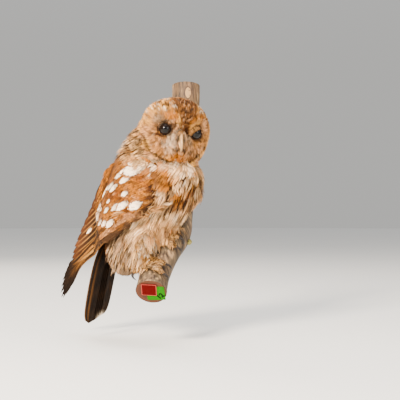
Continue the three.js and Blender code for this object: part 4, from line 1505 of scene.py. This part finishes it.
def bark_material(low_colour, high_colour):
    """Dry smooth bark: matt, with long dark furrows, pale worn ridges and grey-brown blots."""
    mat, add, place = material("dried_branch_bark", Roughness=0.72, IOR=1.45)
    stretched = add("Mapping", {"Vector": place, "Scale": (1, 1, 0.14)})
    long_grain = add("TexNoise", stretched, 1 / (5.0 * MM), 5)
    blot = add("TexNoise", place, 1 / (26.0 * MM), 3)
    fine = add("TexNoise", place, 1 / (1.8 * MM), 4, 0.65)
    height = add("SeparateXYZ", place).outputs[2]
    colour = layered(add, low_colour, (height, -0.20, -0.05, 1.0, high_colour),
                     (blot, 0.45, 0.7, 0.5, rgba("#7A5C42")),
                     (long_grain, 0.48, 0.64, 0.95, rgba("#2A1C10")),
                     (long_grain, 0.45, 0.33, 0.8, rgba("#A08058")),
                     (fine, 0.58, 0.75, 0.35, rgba("#8A6640")))
    # A pruned twig left an oval of bare pale wood with a dark rim and a dark pith.
    for centre, size, rings in (
            ((3.8, -33, 8.5), (5.0, 25, 9.5), ((1.5, 1.2, "#3A2415"), (1.2, 1.0, "#A57F50"))),
            ((5.6, -33, 12.5), (1.1, 25, 1.4), ((1.2, 0.75, "#2A1A10"),))):
        scale = [1000 / value for value in size]
        near = add("Mapping", {"Vector": place, "Scale": scale, "Location": [
            -a * b * MM for a, b in zip(centre, scale)]})
        far = add("Math MULTIPLY_ADD", fine, 0.4, add("VectorMath LENGTH", near).outputs["Value"])
        for outer, inner, shade in rings:
            colour = layered(add, colour, (far, outer, inner, 1.0, rgba(shade)))
    relief = add("Math MULTIPLY_ADD", fine, 0.4, long_grain)
    return dress(mat, colour, relief, 0.5, 0.8)


def node_copies(name, host, inputs, build):
    """The mesh of the copies that a node tree places on a host, with its inputs named and set."""
    group = bpy.data.node_groups.new(name, "GeometryNodeTree")
    add = partial(add_node, group)
    made = {key: group.interface.new_socket(key, in_out="INPUT", socket_type=kind)
            for key, kind in {"Geometry": "NodeSocketGeometry",
                              **{key: kind for key, (kind, value) in inputs.items()}}.items()}
    group.interface.new_socket("Geometry", in_out="OUTPUT", socket_type="NodeSocketGeometry")
    start = add("NodeGroupInput").outputs
    copies = add("GeometryNodeInstanceOnPoints", build(add, start))
    dressed = add("GeometryNodeSetMaterial", {
        "Geometry": add("GeometryNodeRealizeInstances", {"Geometry": copies}),
        "Material": start["Material"]})
    add("NodeGroupOutput", {"Geometry": dressed})
    grown = host.modifiers.new(name, "NODES")
    grown.node_group = group
    for key, (kind, value) in inputs.items():
        grown[made[key].identifier] = value
    host.update_tag()
    ready = host.evaluated_get(bpy.context.evaluated_depsgraph_get())
    mesh = bpy.data.meshes.new_from_object(ready)
    mesh.shade_smooth()
    host.modifiers.remove(grown)
    return placed(name, mesh)


def lenticels(host, density):
    """Corky breathing pores: small raised ovals scattered over the bark."""
    mat = blotched("cork_pores", 1.5, rgba("#3A2818"), rgba("#7A5A3C"), Roughness=0.85)

    def build(add, start):
        spots = add("GeometryNodeDistributePointsOnFaces", {
            "Mesh": start["Geometry"], "Density": start["Density"], "Seed": start["Seed"]})
        wart = add("GeometryNodeMeshIcoSphere", {"Radius": 1.0, "Subdivisions": 2})
        size = add("FunctionNodeRandomValue", {"Min": 0.5, "Max": 1.2, "Seed": start["Seed"]})
        return {"Points": spots, "Instance": wart, "Rotation": spots.outputs["Rotation"],
                "Scale": add("VectorMath SCALE", start["Size"], size)}

    thing = node_copies("branch_lenticels", host, {
        "Density": ("NodeSocketFloat", density), "Seed": ("NodeSocketInt", 7),
        "Size": ("NodeSocketVector", (0.0014, 0.0006, 0.0003)),
        "Material": ("NodeSocketMaterial", mat)}, build)
    settle(thing, mat, "bark")


def bristles(length):
    """Stiff bare-shafted bristles that stand round the bill and hide its root."""
    mat = blotched("bristle_keratin", 3.0, ink("grey"), ink("umber"), Roughness=0.5, IOR=1.54)
    draw = default_rng(27)
    count = 190
    side = np.where(draw.random(count) < 0.5, -1.0, 1.0)
    x = side * draw.uniform(1.5, 7.5, count)
    z = draw.uniform(-21, 5, count)
    places, _, _ = nearest_on_skin(head_to_owl(np.stack([x, x * 0 - 38, z], axis=1)))
    way = np.stack([-side * 0.12, 0 * x - 0.55, 0 * x - 1.0], axis=1) @ HEAD_AXES.T
    way = unit(way + draw.normal(0, 0.16, (count, 3)))
    host = make_mesh("bristle_roots", owl_to_world(places), np.zeros((0, 3), int))
    there = owl_to_world(places + way) - owl_to_world(places)
    give_point_data(host, "way", there / MM)

    def build(add, start):
        way = add("GeometryNodeInputNamedAttribute", {"Name": "way"}, data_type="FLOAT_VECTOR")
        hair = add("GeometryNodeMeshCone", {
            "Vertices": 6, "Side Segments": 3, "Radius Top": 0.00004, "Radius Bottom": 0.00022,
            "Depth": start["Length"]})
        size = add("FunctionNodeRandomValue", {"Min": 0.6, "Max": 1.15, "Seed": start["Seed"]})
        turn = add("FunctionNodeAlignRotationToVector", {"Vector": way}, axis="Z")
        return {"Points": add("GeometryNodeMeshToPoints", {"Mesh": start["Geometry"]}),
                "Instance": hair, "Rotation": turn, "Scale": size}

    thing = node_copies("rictal_bristles", host, {
        "Length": ("NodeSocketFloat", length), "Seed": ("NodeSocketInt", 5),
        "Material": ("NodeSocketMaterial", mat)}, build)
    bpy.data.objects.remove(host)
    settle(thing, mat, "plumage_head")


def end_grain_material():
    """Sawn end grain: rough, with close growth rings, saw marks and a thin dark bark rim."""
    mat, add, place = material("sawn_end_grain", Roughness=0.8, IOR=1.45)
    centred = add("Mapping", {"Vector": place, "Location": tuple(-BUTT_CENTRE * MM)})
    far = add("VectorMath LENGTH", centred).outputs["Value"]
    warped = add("Math MULTIPLY_ADD", add("TexNoise", place, 1 / (7.0 * MM), 3), 0.0022, far)
    rings = add("Math SINE", add("Math MULTIPLY", warped, 3600.0))
    saw = add("TexNoise", place, 1 / (1.4 * MM), 4)
    colour = layered(add, rgba("#4C2208"), (rings, -0.4, 0.9, 1.0, rgba("#281206")))
    colour = add("Mix RGBA", add("Math MULTIPLY", saw, 0.5), colour, rgba("#5A3214"))
    colour = layered(add, colour, (far, 0.017, 0.021, 1.0, rgba("#54290D")),
                     (far, 0.0215, 0.0235, 1.0, rgba("#2E1B0E")))
    return dress(mat, colour, saw, 0.4, 0.4)


def bud():
    """A dormant bud: overlapping greenish scales on the bark."""
    mat = blotched("bud_scales", 2.5, rgba("#6A6324"), rgba("#94843A"), Roughness=0.55, IOR=1.45)
    settle(joined_copy("bud_scales", "branch_bud", levels=2), mat, "bud_scale", "branch_bud")


def butt_place(points):
    up = unit(np.array([0, 0, 1.0]) - BUTT_NORMAL * BUTT_NORMAL[2])
    across = np.cross(up, BUTT_NORMAL)
    axes = np.stack([across, up, BUTT_NORMAL], axis=1)
    return (np.asarray(points, float) @ axes.T + BUTT_CENTRE) * MM


def sticker(name, node, side, thickness, x, y, turn, paper, border, rim):
    """A square of coated paper with softly rounded corners and a slightly bevelled rim."""
    corner, steps, lift = 1.6, 6, 0.3
    outline = []
    for k, (sx, sy) in enumerate(((1, 1), (-1, 1), (-1, -1), (1, -1))):
        for angle in np.radians(90 * k + 90 * np.arange(steps + 1) / steps):
            outline.append((sx * (side / 2 - corner) + corner * cos(angle),
                            sy * (side / 2 - corner) + corner * sin(angle)))
    count, top = len(outline), lift + thickness
    points = np.concatenate([np.column_stack([np.array(outline) * share, np.full(count, level)])
                             for share, level in ((1.0, lift), (1.0, lift + thickness * 0.75),
                                                  (0.985, top), (1 - 2 * border / side, top))])
    points[:, :2] = spun(points, turn) + [x, y]
    thing = make_mesh(name, points, tube_faces(4, count))
    with reshaped(thing.data) as shape:
        for face in shape.faces:
            face.smooth = False
            face.material_index = int(face.index >= 2 * count)
        corners = list(shape.verts)
        for ring in (corners[:count][::-1], corners[-count:]):
            shape.faces.new(ring)
    put(thing, butt_place)
    settle(thing, [paper_material(name + "_paper", paper), paper_material(name + "_rim", rim)],
           node, node)


def paper_material(name, colour):
    """Coated label paper: flat ink, a slight gloss and a faint tooth."""
    darker = solid(0.86 * c for c in colour[:3])
    return blotched(name, 1.5, darker, colour, 0.15, 0.2, 4, Roughness=0.8, IOR=1.5,
                    Specular_IOR_Level=0.06)


def labels(green, red, rim):
    """Two square labels on the sawn butt, and the number written on the green one."""
    sticker("sticker_green", "label_green", 27, 0.6, 6.6, -3, 1, green, 0.8, green)
    sticker("sticker_red", "label_red", 23, 1.3, -2.6, 4.6, -4, red, 1.2, rim)
    number = bpy.data.curves.new("sticker_number", "FONT")
    number.body, number.size, number.extrude, number.offset = "12", 11.5, 0.06, 0.55
    number.align_x, number.align_y = "CENTER", "CENTER"
    written = placed("number_curve", number)
    ready = written.evaluated_get(bpy.context.evaluated_depsgraph_get())
    thing = placed("sticker_number", bpy.data.meshes.new_from_object(ready))
    bpy.data.objects.remove(written)

    def place(points):
        return butt_place(np.column_stack([spun(points, 38) + [12.9, -8.4],
                                           points[:, 2] + 0.97]))

    settle(put(thing, place), paper_material("pen_ink", rgba("#0C0B0A")), "label_green")


# ---- the stage

CAMERA_AT = (0.0233, -1.610, -0.1664)
CAMERA_LENS = 87.1


def stage(lens, power, sky_strength):
    """A matt floor under an even sky, a main lamp from the left and three weaker ones."""
    scene = bpy.context.scene
    mat = blotched("matt_floor_paint", 400.0, rgba("#E4E2DD"), rgba("#E9E7E2"), Roughness=0.9)
    bpy.ops.mesh.primitive_circle_add(vertices=96, radius=6.0, fill_type="NGON",
                                      location=(0, 0, -0.385))
    floor = bpy.context.object
    floor.name = "floor"
    floor.data.materials.append(mat)
    world = scene.world = bpy.data.worlds.new("studio")
    world.use_nodes = True
    add = partial(add_node, world.node_tree)
    upward = add("SeparateXYZ", add("TexCoord").outputs["Generated"]).outputs[2]
    sky = layered(add, rgba("#CFCECB"), (upward, 0.12, 0.5, 1.0, rgba("#E9EBEE")))
    background = world.node_tree.nodes["Background"].inputs
    world.node_tree.links.new(result(sky), background[0])
    background[1].default_value = sky_strength
    lamps = [("key", (-0.85, -1.7, 0.75), 0.45, power, "#FFF1E0"),
             ("fill", (1.3, -1.3, 0.4), 0.9, 24.0, "#FFF8F0"),
             ("top", (0.0, -0.2, 1.6), 1.2, 34.0, "#FFFFFF"),
             ("back", (-0.9, 1.2, 0.8), 1.0, 24.0, "#FFF1E2")]
    for name, place, size, energy, colour in lamps:
        light = bpy.data.lights.new(name, "AREA")
        light.energy, light.size, light.color = energy, size, rgb(colour)
        lamp = placed(name, light)
        lamp.location = place
        aim = Vector((-0.04, -0.13, -0.17)) - Vector(place)
        lamp.rotation_euler = aim.to_track_quat("-Z", "Y").to_euler()
    view = bpy.data.cameras.new("camera")
    view.lens, view.sensor_width, view.clip_start = lens, 36.0, 0.05
    camera = scene.camera = placed("camera", view)
    camera.location = CAMERA_AT
    camera.rotation_euler = (radians(90), 0, 0)


# ---- settings

def tone(label, text, hex_colour=None):
    """A colour setting whose default is a hex colour, or the bird's colour of that name."""
    default = tuple(rgb(hex_colour or COLOURS[label.lower()]))
    return bpy.props.FloatVectorProperty(name=label, description=text, subtype="COLOR", size=3,
                                         min=0.0, max=1.0, default=default)


def length(label, text, millimetres):
    """A size setting whose default is given in millimetres."""
    return bpy.props.FloatProperty(name=label, description=text, unit="LENGTH", precision=4,
                                   min=0.0005, default=millimetres * MM)


def amount(label, text, value, low=0.0, high=1e6, **kind):
    return bpy.props.FloatProperty(name=label, description=text, default=value, min=low,
                                   max=high, **kind)


class OwlColours(bpy.types.PropertyGroup):
    """The plumage palette"""
    white: tone("White", "Collar and wing spots")
    cream: tone("Cream", "Breast, belly and feather edges")
    buff: tone("Buff", "Crown ground and breast patches")
    ochre: tone("Ochre", "Forehead, chin and lesser coverts")
    rufous: tone("Rufous", "Mantle and coverts")
    chestnut: tone("Chestnut", "Forehead wedge and soft markings")
    umber: tone("Umber", "Streaks, bars and flight feathers")
    dark: tone("Dark", "Tail, wing tips and rim of the disc")
    grey: tone("Grey", "Lores and vent down")
    rose: tone("Rose", "Pinkish cheek and feather edges")
    tan: tone("Tan", "Hind coverts and secondaries")
    face: tone("Face", "Ground colour of the facial disc")


class OwlWood(bpy.types.PropertyGroup):
    """The limb, its labels and their colours"""
    bark_low: tone("Lower bark", "Bark near the sawn butt", "#52422C")
    bark_high: tone("Upper bark", "Bark near the wall plate", "#5E4529")
    pores: amount("Pores", "Cork pores on each square metre of bark", 3600.0)
    green_paper: tone("Green label", "Paper of the green label", "#1F7200")
    red_paper: tone("Red label", "Paper of the red label", "#520204")
    red_rim: tone("Red label rim", "Pale rim of the red label", "#A84A3C")


class OwlCoat(bpy.types.PropertyGroup):
    """How full the coat is, and the sizes of the bare parts"""
    body_spacing: length("Body spacing", "Gap between feather roots on neck and trunk", 6.6)
    head_spacing: length("Head spacing", "Gap between feather roots on the head", 2.7)
    leg_spacing: length("Leg spacing", "Gap between tuft roots on the legs", 2.8)
    feather_length: amount("Body feather length", "Scale of the body feathers", 1.0, 0.5, 1.5,
                           subtype="FACTOR")
    eye_radius: length("Eye radius", "Radius of each glass eye", EYE_RADIUS)
    bristle_length: length("Bristle length", "Length of the bristles at the bill", 10.0)


class OwlStage(bpy.types.PropertyGroup):
    """Camera and lights"""
    lens: amount("Focal length", "Focal length of the camera", CAMERA_LENS, 1.0,
                 unit="CAMERA")
    key_power: amount("Key power", "Power of the main lamp", 165.0, unit="POWER")
    sky: amount("Sky strength", "Brightness of the surrounding light", 0.85)


def prepare(scene, with_skin=True):
    """Takes the chosen colours, and stops a coat whose skin isn't built yet."""
    for name in INK:
        INK[name] = np.array(getattr(scene.owl_colours, name), float)
    if with_skin and "tree" not in shared:
        raise RuntimeError("Build the skin first: the feathers are rooted in it")
    return scene.owl_coat


# ---- operators and panel

class OWL_OT_skin(bpy.types.Operator):
    """Join the bird's soft solids into one skin that lies under the coat"""
    bl_idname = "owl.skin"
    bl_label = "Skin"

    def execute(self, context):
        prepare(context.scene, with_skin=False)
        build_skin()
        return {"FINISHED"}


class OWL_OT_body(bpy.types.Operator):
    """Lay the contour feathers of neck, trunk and flanks"""
    bl_idname = "owl.body"
    bl_label = "Body Coat"

    def execute(self, context):
        coat = prepare(context.scene)
        coat_of_body(coat.body_spacing / MM, coat.feather_length)
        return {"FINISHED"}


class OWL_OT_head(bpy.types.Operator):
    """Lay the head feathers, the brows and the bristles round the bill"""
    bl_idname = "owl.head"
    bl_label = "Head Coat"

    def execute(self, context):
        coat = prepare(context.scene)
        coat_of_head(coat.head_spacing / MM)
        bristles(coat.bristle_length)
        return {"FINISHED"}


class OWL_OT_legs(bpy.types.Operator):
    """Lay the down on legs and toes"""
    bl_idname = "owl.legs"
    bl_label = "Leg Coat"

    def execute(self, context):
        coat_of_legs(prepare(context.scene).leg_spacing / MM)
        return {"FINISHED"}


class OWL_OT_wings(bpy.types.Operator):
    """Lay the coverts and flight feathers of both wings"""
    bl_idname = "owl.wings"
    bl_label = "Wings"

    def execute(self, context):
        prepare(context.scene)
        for side in WINGS:
            coverts_of(side)
            flight_of(side)
        return {"FINISHED"}


class OWL_OT_tail(bpy.types.Operator):
    """Fan the tail feathers"""
    bl_idname = "owl.tail"
    bl_label = "Tail"

    def execute(self, context):
        prepare(context.scene, with_skin=False)
        tail_feathers()
        return {"FINISHED"}


class OWL_OT_eyes(bpy.types.Operator):
    """Set the two glass eyes"""
    bl_idname = "owl.eyes"
    bl_label = "Glass Eyes"

    def execute(self, context):
        glass_eyes(prepare(context.scene, with_skin=False).eye_radius / MM)
        return {"FINISHED"}


class OWL_OT_bill(bpy.types.Operator):
    """Make both halves of the bill"""
    bl_idname = "owl.bill"
    bl_label = "Bill"

    def execute(self, context):
        bill()
        return {"FINISHED"}


class OWL_OT_claws(bpy.types.Operator):
    """Make the eight claws"""
    bl_idname = "owl.claws"
    bl_label = "Claws"

    def execute(self, context):
        claws()
        return {"FINISHED"}


class OWL_OT_branch(bpy.types.Operator):
    """Make the limb with its cork pores, sawn ends and bud"""
    bl_idname = "owl.branch"
    bl_label = "Branch"

    def execute(self, context):
        wood = context.scene.owl_wood
        branch([solid(wood.bark_low), solid(wood.bark_high)], wood.pores)
        bud()
        return {"FINISHED"}


class OWL_OT_labels(bpy.types.Operator):
    """Stick the two paper labels on the sawn butt"""
    bl_idname = "owl.labels"
    bl_label = "Labels"

    def execute(self, context):
        wood = context.scene.owl_wood
        labels(solid(wood.green_paper), solid(wood.red_paper), solid(wood.red_rim))
        return {"FINISHED"}


class OWL_OT_stage(bpy.types.Operator):
    """Set the floor, lights and camera"""
    bl_idname = "owl.stage"
    bl_label = "Stage"

    def execute(self, context):
        chosen = context.scene.owl_stage
        stage(chosen.lens, chosen.key_power, chosen.sky)
        return {"FINISHED"}


OPERATORS = (OWL_OT_skin, OWL_OT_body, OWL_OT_head, OWL_OT_legs, OWL_OT_wings, OWL_OT_tail,
             OWL_OT_eyes, OWL_OT_bill, OWL_OT_claws, OWL_OT_branch, OWL_OT_labels,
             OWL_OT_stage)
SETTINGS = {"owl_colours": OwlColours, "owl_coat": OwlCoat, "owl_wood": OwlWood,
            "owl_stage": OwlStage}


class OWL_PT_builder(bpy.types.Panel):
    """Lists the settings and the pieces in the order they are built"""
    bl_idname = "OWL_PT_builder"
    bl_label = "Mounted Tawny Owl"
    bl_space_type = "VIEW_3D"
    bl_region_type = "UI"
    bl_category = "Owl"

    def draw(self, context):
        for name, group in SETTINGS.items():
            box = self.layout.box()
            for setting in group.__annotations__:
                box.prop(getattr(context.scene, name), setting)
        for operator in OPERATORS:
            self.layout.operator(operator.bl_idname)


def register():
    for group in (*SETTINGS.values(), *OPERATORS, OWL_PT_builder):
        bpy.utils.register_class(group)
    for name, group in SETTINGS.items():
        setattr(bpy.types.Scene, name, bpy.props.PointerProperty(type=group))


def unregister():
    for name in SETTINGS:
        delattr(bpy.types.Scene, name)
    for group in (OWL_PT_builder, *reversed(OPERATORS), *reversed(SETTINGS.values())):
        bpy.utils.unregister_class(group)


def main():
    register()
    bpy.ops.owl.skin()
    bpy.ops.owl.body()
    bpy.ops.owl.head()
    bpy.ops.owl.legs()
    bpy.ops.owl.wings()
    bpy.ops.owl.tail()
    bpy.ops.owl.eyes()
    bpy.ops.owl.bill()
    bpy.ops.owl.claws()
    bpy.ops.owl.branch()
    bpy.ops.owl.labels()
    bpy.ops.owl.stage()


if __name__ == "__main__":
    main()
